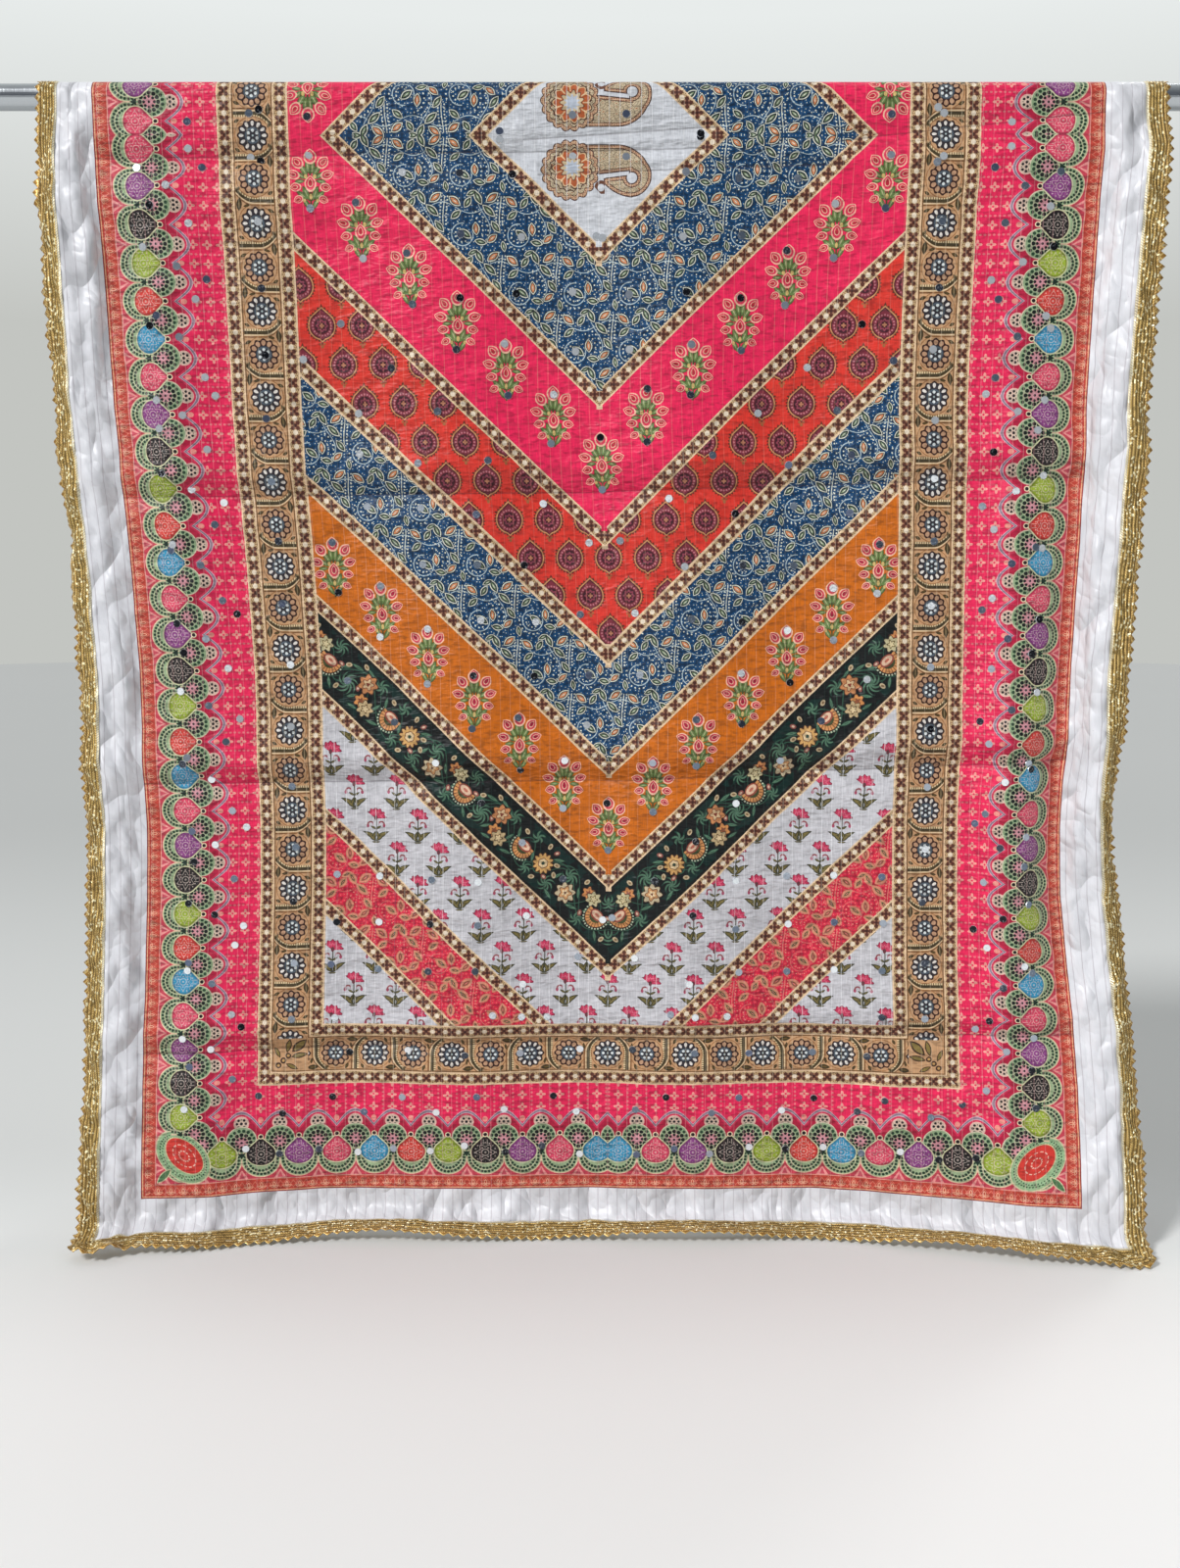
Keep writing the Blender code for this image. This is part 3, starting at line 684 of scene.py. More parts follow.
class Nodes:
    """A node tree that is built one node at a time."""

    def __init__(self, tree):
        self.tree = tree

    def node(self, kind, settings, values, out=0):
        """Add one node: its settings, then its sockets' values or links."""
        made = self.tree.nodes.new(kind)
        for key, value in settings.items():
            if key == "stops":
                ramp = made.color_ramp
                ramp.elements.remove(ramp.elements[1])
                for i, (at, colour) in enumerate(value):
                    stop = ramp.elements.new(at) if i else ramp.elements[0]
                    stop.position = at
                    number = not isinstance(colour, tuple)
                    stop.color = (colour,) * 3 + (1.0,) if number else linear(*colour)
            elif key == "steps":
                made.color_ramp.interpolation = value
            else:
                setattr(made, key, value)
        pairs = values.items() if isinstance(values, dict) else enumerate(values)
        for key, value in pairs:
            self.join(made.inputs[key], value)
        return Value(self, made.outputs[out])

    def join(self, socket, value):
        """Link a value to a socket, or set the socket to a number or colour."""
        if isinstance(value, Value):
            self.tree.links.new(value.socket, socket)
        else:
            socket.default_value = value

    def parts(self, vector):
        """A vector's first two parts."""
        x = self.node("ShaderNodeSeparateXYZ", {}, (vector,))
        return x, Value(self, x.socket.node.outputs[1])

    def mix(self, mask, low, high):
        """low where the mask is 0 and high where it is 1, for colours."""
        return self.node("ShaderNodeMix", {"data_type": "RGBA"}, {0: mask, 6: low, 7: high}, out=2)


class Finish(Nodes):
    """One material's nodes, with its colour painted on in layers. Lengths are millimetres."""

    def __init__(self, name, colour):
        self.material = bpy.data.materials.new(name)
        self.material.use_nodes = True
        super().__init__(self.material.node_tree)
        self.shader = self.tree.nodes["Principled BSDF"]
        self.colour = linear(*colour)

    def flat(self, name="cloth_flat"):
        """The flat place on the piece, as a vector and as its two parts."""
        uv = self.node("ShaderNodeUVMap", {"uv_map": name}, ())
        place = self.node("ShaderNodeVectorMath", {"operation": "SCALE"}, {0: uv, 3: 1000.0})
        return place, *self.parts(place)

    def vector(self, x, y):
        """Two values as a flat vector."""
        return self.node("ShaderNodeCombineXYZ", {}, (x, y, 0.0))

    def tiled(self, vector, x, y, pitch_x, pitch_y):
        """The vector in the repeat whose middle is x, y."""
        return self.node("ShaderNodeVectorMath", {"operation": "WRAP"},
                         (vector, (x + pitch_x / 2, y + pitch_y / 2, 1.0),
                          (x - pitch_x / 2, y - pitch_y / 2, -1.0)))

    def bricked(self, vector, x, y, pitch, drop):
        """The vector in its staggered repeat: pitch along a row, drop to the next row but one."""
        turned = self.node("ShaderNodeMapping", {"vector_type": "POINT"},
                           (self.moved(vector, x, y), (0.0, 0.0, 0.0), (0.0, 0.0, math.pi / 4),
                            (1 / pitch, 1 / drop, 1.0)))
        cell = self.tiled(turned, 0.0, 0.0, math.sqrt(0.5), math.sqrt(0.5))
        return self.moved(cell, 0.0, 0.0, 45.0, 1 / pitch, 1 / drop)

    def moved(self, vector, x, y, turn=0.0, long=1.0, wide=1.0):
        """The vector seen from x, y, turned in degrees, in units of long and wide."""
        return self.node("ShaderNodeMapping", {"vector_type": "TEXTURE"},
                         (vector, (x, y, 0.0), (0.0, 0.0, math.radians(turn)), (long, wide, 1.0)))

    def size(self, vector):
        """Length of a vector."""
        return self.node("ShaderNodeVectorMath", {"operation": "LENGTH"}, (vector,), out=1)

    def reach(self, x, y):
        """Distance from the origin."""
        return self.size(self.vector(x, y))

    def oval(self, vector, x, y, turn, long, wide):
        """Below 1 inside an oval."""
        return self.size(self.moved(vector, x, y, turn, long, wide))

    def leaf(self, vector, x, y, turn, long, wide):
        """Below 1 inside a leaf with two points."""
        a, b = self.parts(self.moved(vector, x, y, turn, long, wide))
        return a * a + abs(b)

    def least(self, shape, vector, places):
        """The least of a shape's values over its places."""
        found = None
        for place in places:
            here = shape(vector, *place)
            found = here if found is None else found & here
        return found

    def around(self, x, y):
        """Distance from and angle round the origin."""
        return (self.reach(x, y),
                self.node("ShaderNodeMath", {"operation": "ARCTAN2"}, (y, x)))

    def tear(self, vector, x, y, turn, long, wide):
        """Below 1 inside a petal, round behind and pointed ahead."""
        here = self.moved(vector, x, y, turn, long, wide)
        a, b = self.parts(here)
        ball = self.size(here)
        return ball + (a * a + abs(b) - ball) * (a > 0.0)

    def beads(self, radius, angle, ring, count, bead):
        """1 in each bead of a ring."""
        side = angle.repeated(2 * math.pi / count) * ring
        return self.reach(side, radius - ring) < bead

    def petals(self, radius, angle, count, edge, depth):
        """1 inside a flower with rounded petals."""
        return radius - (angle * count).cosine() * depth < edge

    def paint(self, mask, colour):
        """Lay a colour over the finish where the mask is 1."""
        top = linear(*colour) if isinstance(colour, tuple) else colour
        self.colour = self.mix(mask, self.colour, top)

    def layers(self, value, *steps, within=None):
        """Colours one on the other, each where the value is below its own limit."""
        for limit, colour in steps:
            mask = value < limit
            self.paint(mask if within is None else mask & within, colour)

    def ramp(self, value, stops, steps="CONSTANT"):
        """A colour, or a number as a grey, by the value."""
        return self.node("ShaderNodeValToRGB", {"stops": stops, "steps": steps}, (value,))

    def noise(self, vector, long, wide, x=0.0, y=0.0, turn=0.0, detail=1.0):
        """Soft blotches of about that length and width."""
        return self.node("ShaderNodeTexNoise", {"noise_dimensions": "2D"},
                         {"Vector": self.moved(vector, x, y, turn, long, wide), "Scale": 1.0,
                          "Detail": detail})

    def cloud(self, scale, detail=2.0, stretch=(1.0, 1.0, 1.0)):
        """Noise through the piece, in its own metres."""
        here = self.node("ShaderNodeTexCoord", {}, (), out=3)
        here = self.node("ShaderNodeMapping", {}, (here, (0.0, 0.0, 0.0), (0.0, 0.0, 0.0), stretch))
        return self.node("ShaderNodeTexNoise", {}, {"Vector": here, "Scale": scale, "Detail": detail})

    def cells(self, vector, scale, spread=1.0, feature="F1", out=0):
        """Distance from the nearest of scattered points, or from the edge between two."""
        return self.node("ShaderNodeTexVoronoi", {"voronoi_dimensions": "2D", "feature": feature},
                         {"Vector": vector, "Scale": scale, "Randomness": spread}, out)

    def tones(self, value, light, low, high):
        """Darken the colour where a value is low."""
        tint = self.ramp(value, ((low, (190, 190, 190)), (high, (255, 255, 255))), "LINEAR")
        self.colour = self.node("ShaderNodeMix", {"data_type": "RGBA", "blend_type": "MULTIPLY"},
                                {0: light, 6: self.colour, 7: tint}, out=2)

    def done(self, roughness, height=None, depth=0.001):
        """Join the colour, and a bump of height times depth in metres, to the shader."""
        self.join(self.shader.inputs["Base Color"], self.colour)
        self.join(self.shader.inputs["Roughness"], roughness)
        if height is not None:
            bump = {"Height": height, "Distance": depth, "Strength": 1.0}
            self.join(self.shader.inputs["Normal"], self.node("ShaderNodeBump", {}, bump))
        return self.material


# Pitches of the woven pinstripes, the flower strips and the rosettes
PINSTRIPE, TRIM_PITCH, ROSETTE_PITCH = 10.4, 13.8, 41.5
TAN = (210, 163, 120)
# Creases pressed in by folding: flat u and s at both ends, millimetres
CREASES = (
    (-74, 64, 119, 52), (-500, 82, 100, 72), (-60, 97, 240, 88), (230, 66, 520, 36),
    (-530, 408, -20, 402), (-20, 402, 520, 386), (-530, 697, 20, 694), (20, 694, 520, 670),
    (-530, 985, 520, 958), (-520, -241, 520, -232), (-520, -528, 520, -514), (-520, -813, 520, -802),
)


# A ramp over the chevron bands covers this far down them
RAMP_REACH = 1200.0


def down_arm(u, q):
    """How far down the chevron bands a place is."""
    return abs(q) + abs(u) * SLOPE


def woven(name, ground, pattern, details, stripe, shine, pucker_shade):
    """A cloth finish: its print, then threads, pinstripes, puckers, creases and gloss, with painted shade
    on the puckers, the broad waves and the creases.
    """
    finish = Finish(name, ground)
    place, u, q = finish.flat()
    pattern(finish, place, u, q, *details)
    threads = finish.noise(place, 0.9, 12.0)
    finish.tones(threads, 0.45, 0.25, 0.75)
    puckers = finish.noise(place, 11.0, 3.6, 3.0, 5.0)
    # Painted shade of the puckers: the colour darkens with the same noise that raises them
    finish.tones(1.0 - puckers, pucker_shade, 0.30, 0.46)
    broad = finish.noise(place, 30.0, 11.0, detail=2.0)
    # Painted shade of the broad waves: darker where their bump is low
    finish.tones(broad, 0.30, 0.3, 0.6)
    line = u.repeated(PINSTRIPE).near(0.0, 0.42)
    stripe_fade = finish.noise(place, 90.0, 40.0)
    # The pinstripe comes and goes along a slow noise
    finish.paint(line * (stripe_fade * 1.3) * shine, stripe)
    nearest = None
    for u0, s0, u1, s1 in CREASES:
        slope = (s1 - s0) / (u1 - u0)
        away = abs(q - u * slope - (s0 - CENTRE_DROP * 1000 - u0 * slope))
        away = away + (abs(u - (u0 + u1) / 2) > (u1 - u0) / 2) * 50.0
        nearest = away if nearest is None else nearest & away
    valley = (1.0 - nearest / 30.0) | 0.0
    # Painted shade: a thin dark line along each pressed crease
    finish.paint((nearest < 0.8) * 0.35, (50, 30, 40))
    finish.shader.inputs["Sheen Weight"].default_value = 0.03
    finish.shader.inputs["Specular IOR Level"].default_value = 0.30
    height = broad * 3.2 + puckers * 1.5 + threads * 0.12 + line * 0.2 - valley * valley * 7.0
    return finish.done(0.46, height, 0.001)


def plain_edge():
    """The unprinted white edge, crumpled in broad facets with painted shade."""
    finish = Finish("white_edge", (230, 230, 235))
    place, u, _ = finish.flat()
    slubs = finish.noise(place, 1.6, 3.2)
    finish.paint((slubs > 0.82) * 0.35, (150, 140, 150))
    threads = finish.noise(place, 0.9, 12.0)
    finish.tones(threads, 0.12, 0.25, 0.75)
    facets = finish.noise(place, 50.0, 84.0, turn=20.0)
    small = finish.noise(place, 17.0, 26.0, 7.0, 3.0, -30.0)
    crumple = abs(facets - 0.5) * 27.0 + abs(small - 0.5) * 5.0
    # Painted shade of the crumpled facets: darker where the facet noise is low
    finish.tones(facets, 0.20, 0.40, 0.58)
    line = u.repeated(PINSTRIPE).near(0.0, 0.42)
    finish.paint(line * 0.7, (190, 183, 190))
    finish.shader.inputs["Sheen Weight"].default_value = 0.03
    return finish.done(0.40, crumple + threads * 0.1 + line * 0.15, 0.001)


def flower_strip(finish, along, across, half):
    """Paint a strip of red-brown flowers with cream heads and scrolls between them."""
    finish.colour = linear(224, 190, 146)
    x = along.repeated(TRIM_PITCH)
    radius, angle = finish.around(x, across)
    beyond = TRIM_PITCH / 2 - abs(x)
    curl = finish.reach(beyond - 1.9, abs(across) - 3.9)
    finish.paint(curl.near(2.1, 0.5), (146, 112, 72))
    finish.paint(curl < 0.8, (156, 120, 76))
    head = finish.reach(beyond, across)
    finish.paint(head < 2.5, (248, 230, 206))
    finish.paint(finish.petals(radius, angle + math.pi / 4, 4, 4.8, 1.1), (98, 52, 40))
    finish.paint(finish.beads(radius, angle, 2.8, 4, 0.9), (184, 132, 102))
    finish.paint(radius < 1.0, (66, 32, 26))
    finish.paint(abs(across) > half - 1.6, (244, 212, 174))


def trim(finish, _, u, q):
    """The strips between the chevron bands."""
    w = down_arm(u, q)
    edges = [edge * 1000 for edge, _ in BANDS[:-1]]
    middles = [(edges[i] + edges[i + 1]) / 2 for i in range(0, len(edges) - 1, 2)]
    changes = [0.0] + [(low + high) / 2 for low, high in zip(middles, middles[1:])]
    stops = [(at / RAMP_REACH, middle / RAMP_REACH) for at, middle in zip(changes, middles)]
    centre = finish.ramp(w / RAMP_REACH, stops)
    across = (w - centre * RAMP_REACH) / ARM
    along = (abs(u) - abs(q) * SLOPE) / ARM
    flower_strip(finish, along, across, 6.8)


# Leaves beside the frame's garland and in its corners: x, y, turn, half length, half width
FRAME_SPRAY = ((15.6, 3.2, 84, 6.2, 2.7), (8.4, 4.6, 12, 3.4, 1.3), (-15, 9.2, -25, 3.6, 1.6),
               (-15.4, -7.4, 30, 3, 1.5), (15.8, -11.4, 60, 2.6, 1.2))
FRAME_SPRIG = ((62, 0, 0, 11, 5), (54, 8, 32, 9, 3.2), (40, 11, 70, 7, 2.4))


def frame_print(finish, _, u, q):
    """The rosette frame between two flower strips."""
    side = FRAME_OUTER[0] * 1000 - abs(u)
    end = (FRAME_OUTER[1] * 1000 - abs(q)) * 1.035
    on_side = side < end
    along = abs(u) + (abs(q) - abs(u)) * on_side
    y = (side & end) - 34.6
    rise = abs(y)
    flower_strip(finish, along, rise - 27.2, 7.4)
    finish.paint(rise < 20.0, TAN)
    finish.paint(rise.near(19.0, 0.5), (104, 68, 30))
    band = rise < 18.4
    x = along.repeated(ROSETTE_PITCH)
    radius, angle = finish.around(x, y)
    pale = (along / ROSETTE_PITCH + 0.5) % 2.0 < 1.0
    midway = (along - ROSETTE_PITCH / 2).repeated(ROSETTE_PITCH)
    flip = y * ((along / (2 * ROSETTE_PITCH)) % 1.0 < 0.5) * 2.0 - y
    bend = (flip - 1.0) | 0.0
    garland = midway + bend * bend * 0.034
    beading = garland.near(-2.2, 1.5) & band
    finish.paint(beading, (238, 212, 166))
    finish.paint(beading & (flip.repeated(2.4) > 0.35), (104, 74, 42))
    finish.paint(garland.near(0.0, 1.6) & band, (74, 62, 38))
    finish.paint(garland.near(2.4, 0.5) & band, (240, 214, 172))
    finish.paint(garland.near(4.2, 0.7) & band, (132, 90, 54))
    finish.paint(radius.near(17.4, 0.45) & band, (172, 118, 72))
    spray = finish.least(finish.leaf, finish.vector(flip, midway), FRAME_SPRAY)
    finish.layers(spray, (1.0, (66, 52, 26)), (0.3, (110, 88, 44)), within=band)
    finish.paint(finish.petals(radius, angle, 12, 14.6, 0.9), (58, 26, 20))
    loops = angle.repeated(math.pi / 6) * 10.9
    finish.paint(finish.reach(loops * 1.25, radius - 11.0) < 2.6, (198, 154, 122))
    finish.paint((radius < 13.7) & pale, (52, 44, 50))
    white = (finish.reach(loops * 1.65, radius - 11.2) < 2.4) & pale
    finish.paint(white, (240, 232, 224))
    finish.paint(radius < 8.4, (52, 50, 58))
    finish.paint(radius.near(6.6, 0.9), (84, 96, 108))
    finish.paint(finish.beads(radius, angle, 4.7, 6, 1.5), (232, 238, 238))
    finish.paint(radius < 1.0, (180, 196, 196))
    corner = (side > 16.0) & (end > 16.0) & (side < 53.0) & (end < 53.0)
    finish.paint(corner, TAN)
    c1, c2 = finish.parts(finish.moved(finish.vector(side, end), 0, 0, 45))
    bead = finish.reach((c1 - 38.0).repeated(7.2), c2)
    knots = corner & c1.near(38.0, 10.0)
    finish.layers(bead, (3.2, (66, 40, 28)), (1.5, (206, 160, 100)), within=knots)
    sprig = finish.least(finish.leaf, finish.vector(c1, abs(c2)), FRAME_SPRIG)
    finish.layers(sprig, (1.0, (66, 42, 28)), (0.62, (140, 120, 66)), within=corner)


# Leaves of the vine repeat: x, y, turn, half length, half width
VINE_OCHRE = (
    (13.5, -5.7, 86, 6.4, 3.5), (29.1, 3.2, -38, 6.3, 3.3), (29.9, -34.5, -36, 7.4, 3.8),
    (-6.7, -31, 38, 7, 3.9),
)
VINE_GREEN = (
    (3, -0.7, 36, 7.1, 3.5), (17.9, 6.8, 12, 6.2, 3.1), (32.9, -7.5, 52, 6.9, 3.2),
    (16.1, -34.5, 62, 7.4, 3.4), (26.5, -22.4, 42, 8, 3.5), (6, -29.9, -55, 6, 3.2),
    (-6, -18.5, -38, 6.4, 3.2), (-14.9, 10.7, 80, 5.5, 2.6), (10, 17, -24, 5.6, 2.6),
)


def vine(finish, _, u, q, shade, outline, stem, hearts, dark, start):
    """Small leaves, rings and ferns on a plain ground."""
    later = down_arm(u, q) > 430.0
    start = finish.moved(finish.vector(u - later * 1.7, abs(q) - later * 43.8), *start)

    def tile(x, y):
        """The repeat whose middle is x, y."""
        return finish.tiled(start, x, y, VINE_TILE, VINE_TILE)

    def leaf(_, x, y, turn, long, wide):
        """A leaf of every repeat."""
        return finish.leaf(tile(x, y), x, y, turn, long, wide)

    speck = finish.cells(start, 0.24, 0.8)
    finish.paint((speck > 0.52) * 0.7, shade)
    finish.paint(speck < 0.12, outline)
    x, y = finish.parts(tile(0.0, 0.0))
    radius, angle = finish.around(x, y)
    wave = 2 * math.pi / VINE_TILE
    stems = (radius.near(10.5, 0.5) & (angle + 0.9).repeated(2 * math.pi).near(0.0, 0.5)) * -1.0
    stems = stems + radius.near(10.5, 0.5)
    stems = stems | (y + 25.0 - (x * wave + 0.6).sine() * 5.0).repeated(VINE_TILE).near(0.0, 0.42)
    stems = stems | (x - 21.5 - (y * wave + 2.2).sine() * 6.0).repeated(VINE_TILE).near(0.0, 0.42)
    fern_x, fern_y = finish.parts(tile(-17.5, -23.0))
    sway = fern_x + 17.5 - (fern_y * 0.12).sine() * 1.2
    on_fern = fern_y.near(-22.0, 14.0)
    barbs = finish.reach(abs(sway) - 3.0, fern_y.repeated(3.2)) < 0.85
    ferns = (sway.near(0.0, 0.45) | barbs) & on_fern
    arc, arc_turn = finish.around(x - 7.0, y + 4.0)
    ferns = ferns | (finish.beads(arc, arc_turn, 18.6, 26, 0.85) & (x > 13.0) & (y < 6.0))
    ferns = ferns | (finish.beads(arc, arc_turn, 13.4, 19, 0.8) & (x > 10.0) & (y < 6.0))
    ferns = ferns | (finish.beads(radius, angle, 7.0, 11, 0.8) & (y - x > -2.0))
    ferns = ferns | (finish.beads(radius, angle, 13.8, 20, 0.8) & (y - x > 6.0))
    finish.paint(stems, stem)
    finish.paint(ferns, outline)
    warm = finish.least(leaf, start, VINE_OCHRE)
    cool = finish.least(leaf, start, VINE_GREEN)
    both = warm & cool
    finish.layers(both, (1.25, dark), (1.05, outline), (0.76, dark))
    finish.paint(warm < 0.52, hearts[0])
    finish.paint(cool < 0.40, hearts[1])
    finish.paint(both < 0.12, outline)


# Petals and leaves of half a bouquet: x, y, turn, half length, half width
BOUQUET_PETALS = (
    (0, -26, -90, 7.2, 6.2), (12.6, -20.2, -50, 6.8, 5.2), (16.8, -8, -16, 6.6, 4.5),
    (0, 0.5, -90, 7.6, 5.6), (14.8, 4.2, 8, 5.6, 4.1), (12.4, 15.6, 24, 4.9, 3.5),
)
BOUQUET_LEAVES = (
    (2.4, -15.8, -80, 7.4, 2.8), (6.4, -12.2, -58, 8, 3), (9.6, -7.2, -34, 6.6, 2.6),
    (10.4, -1.5, 4, 5.2, 2.2), (4.4, 10, -66, 8, 3.1), (8.4, 11.6, -36, 7, 2.7),
    (4.4, 19.6, -60, 6.8, 2.5),
)


def bouquet(finish, _, u, q, start, pitch, rim, rind, heart):
    """Sprays of pointed petals and leaves that step down the arms of a band."""
    across = abs(u)
    step = round(across / pitch[0])
    x = abs(across - step * pitch[0])
    y = abs(q) + step * pitch[1] - start
    here = finish.vector(x, y)
    stem = (x < 0.9) & y.near(4.0, 23.0)
    leaves = finish.least(finish.leaf, here, BOUQUET_LEAVES)
    finish.paint((leaves < 1.0) | stem, (84, 86, 44))
    finish.layers(leaves, (0.72, (110, 136, 76)), (0.20, (182, 186, 136)))
    petals = finish.least(finish.tear, here, BOUQUET_PETALS)
    finish.layers(petals, (1.04, rim), (0.80, heart), (0.46, rim), (0.34, rind))
    tips = finish.least(finish.oval, here, ((4.4, -6.2, 0, 1.6, 2.2), (6.4, 16.6, 0, 1.4, 1.8),
                                            (0.0, 13.0, 0, 1.5, 2.6)))
    finish.paint(tips < 1.0, (222, 190, 120))


def medallions(finish, _, u, q):
    """Pointed medallions in staggered rows on red-orange."""
    here = finish.bricked(finish.vector(u, abs(q)), 3.5, 406.7, 40.4, 75.8)
    x, y = finish.parts(here)
    radius, angle = finish.around(x, y)
    side = abs(x)
    tip = (side * 0.66 - y * 0.75 - 13.2) | (y + 8.3)
    foot = (side * 0.80 + y * 0.85 - 13.2) | (9.0 - y)
    body = (radius - 13.2) & tip & foot
    fringe = (angle * 30.0).cosine() * 0.8 + body
    finish.paint(fringe < 1.9, (112, 50, 34))
    finish.layers(body, (0.6, (214, 150, 100)), (-0.7, (74, 22, 34)), (-1.7, (132, 46, 62)))
    finish.paint(finish.beads(radius, angle, 9.4, 20, 0.95), (200, 122, 132))
    finish.paint(radius < 7.6, (72, 26, 38))
    finish.paint(finish.petals(radius, angle, 8, 5.5, 0.8), (150, 66, 84))
    finish.paint(finish.petals(radius, angle, 8, 3.6, 0.6), (72, 22, 36))
    finish.paint(finish.petals(radius, angle, 4, 2.0, 0.6), (190, 128, 96))
    pendant = finish.least(finish.oval, here, ((0, 20.0, 0, 1.6, 1.9),))
    twins = finish.reach(side - 2.1, y - 17.6) < 1.2
    finish.paint((pendant < 1.0) | twins, (176, 104, 62))


def carnations(finish, _, u, q):
    """Carnation sprigs in staggered rows on white."""
    x, y = finish.parts(finish.bricked(finish.vector(u, abs(q)), 0.0, 785.8, 45.4, 70.1))
    y = y + 12.0
    side = abs(x)
    here = finish.vector(side, y)
    stem = (x - (y * 0.16).sine() * 0.5).near(0.0, 0.55) & y.near(14.0, 15.0)
    leaves = finish.least(finish.leaf, here, ((7.4, 21.0, -18, 7.4, 1.7), (6.4, 23.0, -28, 6.8, 1.9),
                                              (4.0, 25.4, -42, 5.8, 2.0), (2.0, 23.0, 75, 5.0, 1.6),
                                              (2.6, 14.6, -30, 3.6, 1.2), (1.6, 30.0, -6, 3.0, 0.9)))
    finish.paint(stem | (leaves < 1.0), (62, 62, 40))
    finish.paint(leaves < 0.42, (126, 112, 64))
    curl_x, curl_y = side - 5.6, y - 11.6
    curl = finish.reach(curl_x, curl_y)
    curls = curl.near(3.1, 0.85) & (curl_y < 0.8) & (curl_x > -2.6)
    tip = finish.oval(here, 8.7, 12.6, 0, 1.5, 2.0) < 1.0
    finish.paint(curls | tip, (176, 72, 104))
    finish.paint(curl.near(3.3, 0.3) & (curl_y < 0.5) & (curl_x > -2.4), (120, 96, 60))
    radius, angle = finish.around(y - 5.2, x)
    turn = abs((angle + 0.32).repeated(2 * math.pi))
    ragged = (angle * 13.0).cosine() * 0.8 + radius
    head = (ragged < 11.0) & (turn > 1.90)
    finish.paint(head, (132, 26, 62))
    finish.paint((ragged < 10.0) & (turn > 1.98), (206, 54, 92))
    finish.paint((ragged.near(6.4, 0.8) | (angle * 9.0).cosine().near(1.0, 0.10)) & head, (226, 104, 130))
    finish.paint(finish.oval(here, 0, 4.4, 0, 1.8, 2.6) < 1.0, (112, 56, 66))


# The dark band's repeat, along and across it: sprays of leaves are x, y, count, size and depth;
# leaves x, y, turn, half length and width; blooms x, y and rings of count, edge, depth and colour
DARK_START, DARK_PERIOD = 788.0, 193.7
SPRAYS = (
    (-27.7, 6, 8, 7.6, 6), (0.2, -18, 7, 5.4, 4.6), (-58, -16, 6, 5.4, 4.2), (-91, -17, 5, 5, 4),
    (64, 13.5, 7, 6, 5), (49, -10, 7, 6.4, 5), (13.9, 19, 6, 5.2, 4.2), (93, 16, 6, 5, 4),
)
DARK_LEAVES = (
    (27, 13, 20, 8.4, 2.3), (31, -3, -50, 7, 2.1), (55, 20, -15, 8, 2.2), (60, -1, 70, 7, 2.1),
    (70, -14, 35, 7.4, 2.1), (94, 2, -60, 7, 2.1), (-74, 18, 20, 8, 2.2), (-72, -7, -60, 7.5, 2.1),
    (-67, 4, 75, 7, 2.1), (-40, 12, 50, 7.4, 2.1), (-40, -19, -10, 6.4, 1.9), (-15, -5, 30, 7.4, 2.2),
    (-13, 18, -40, 7.4, 2.1), (-26, -14, 10, 8.4, 2.3), (-47, 20, 12, 7, 2), (12, 4, 60, 6, 1.8),
)
DARK_BUDS = (
    (-10.5, -5.2), (-17, -9.6), (-20.7, 15.8), (-39.8, 2), (-77.7, -13.7), (67.7, -8.3), (76.5, -17.8),
    (86.7, -18.3), (63.4, 1.4), (70.5, 9.8), (80.6, 18.4), (32, -18), (15.5, 11.1), (-32.4, -20.2),
)
BLOOMS = (
    (80.5, -0.2, ((12, 10.8, 0.7, (92, 52, 28)), (12, 9.4, 1.7, (222, 172, 106)),
        (6, 5.4, 0.3, (122, 72, 40)), (6, 4.6, 0.3, (238, 208, 162)), (6, 1.9, 0.3, (48, 68, 54)))),
    (41.6, 6.5, ((8, 10.4, 1.3, (84, 56, 40)), (8, 9.4, 1.6, (208, 190, 156)),
        (5, 6.4, 1.4, (126, 76, 50)), (5, 5.4, 1.4, (216, 160, 108)), (5, 3, 1, (238, 212, 170)),
        (3, 1.3, 0.4, (110, 56, 40)))),
    (22.8, -10.4, ((6, 6.8, 1.2, (84, 46, 32)), (6, 5.9, 1.2, (218, 146, 88)),
        (5, 2.8, 0.9, (148, 80, 56)))),
    (14.6, -9.4, ((7, 7.8, 1.2, (78, 60, 42)), (7, 6.9, 1.3, (210, 198, 156)),
        (5, 3.8, 1.1, (122, 104, 62)), (5, 2.5, 0.9, (230, 212, 166)))),
    (-50.6, 9.6, ((6, 7, 1.2, (84, 46, 32)), (6, 6.1, 1.2, (222, 150, 86)),
        (5, 2.8, 0.9, (150, 86, 56)))),
    (-59.4, 12.6, ((7, 8.2, 1.3, (78, 60, 42)), (7, 7.3, 1.4, (204, 178, 134)),
        (5, 4, 1.1, (116, 88, 54)), (5, 2.8, 0.9, (232, 206, 160)))),
    (-45, -8, ((7, 10, 1.4, (88, 48, 32)), (7, 8.9, 1.5, (208, 140, 90)), (5, 5.6, 1.4, (138, 74, 52)),
        (5, 4.5, 1.4, (224, 190, 146)), (3, 1.8, 0.5, (140, 60, 44)))),
)
HALF_BLOOMS = ((0, 0.6), (-85.8, 0.2))
HALF_HEARTS = ((0.5, 8.4, 5.4, (158, 78, 62)), (0.8, 6.6, 3.8, (236, 196, 166)),
               (0.8, 3, 1.4, (196, 112, 92)))


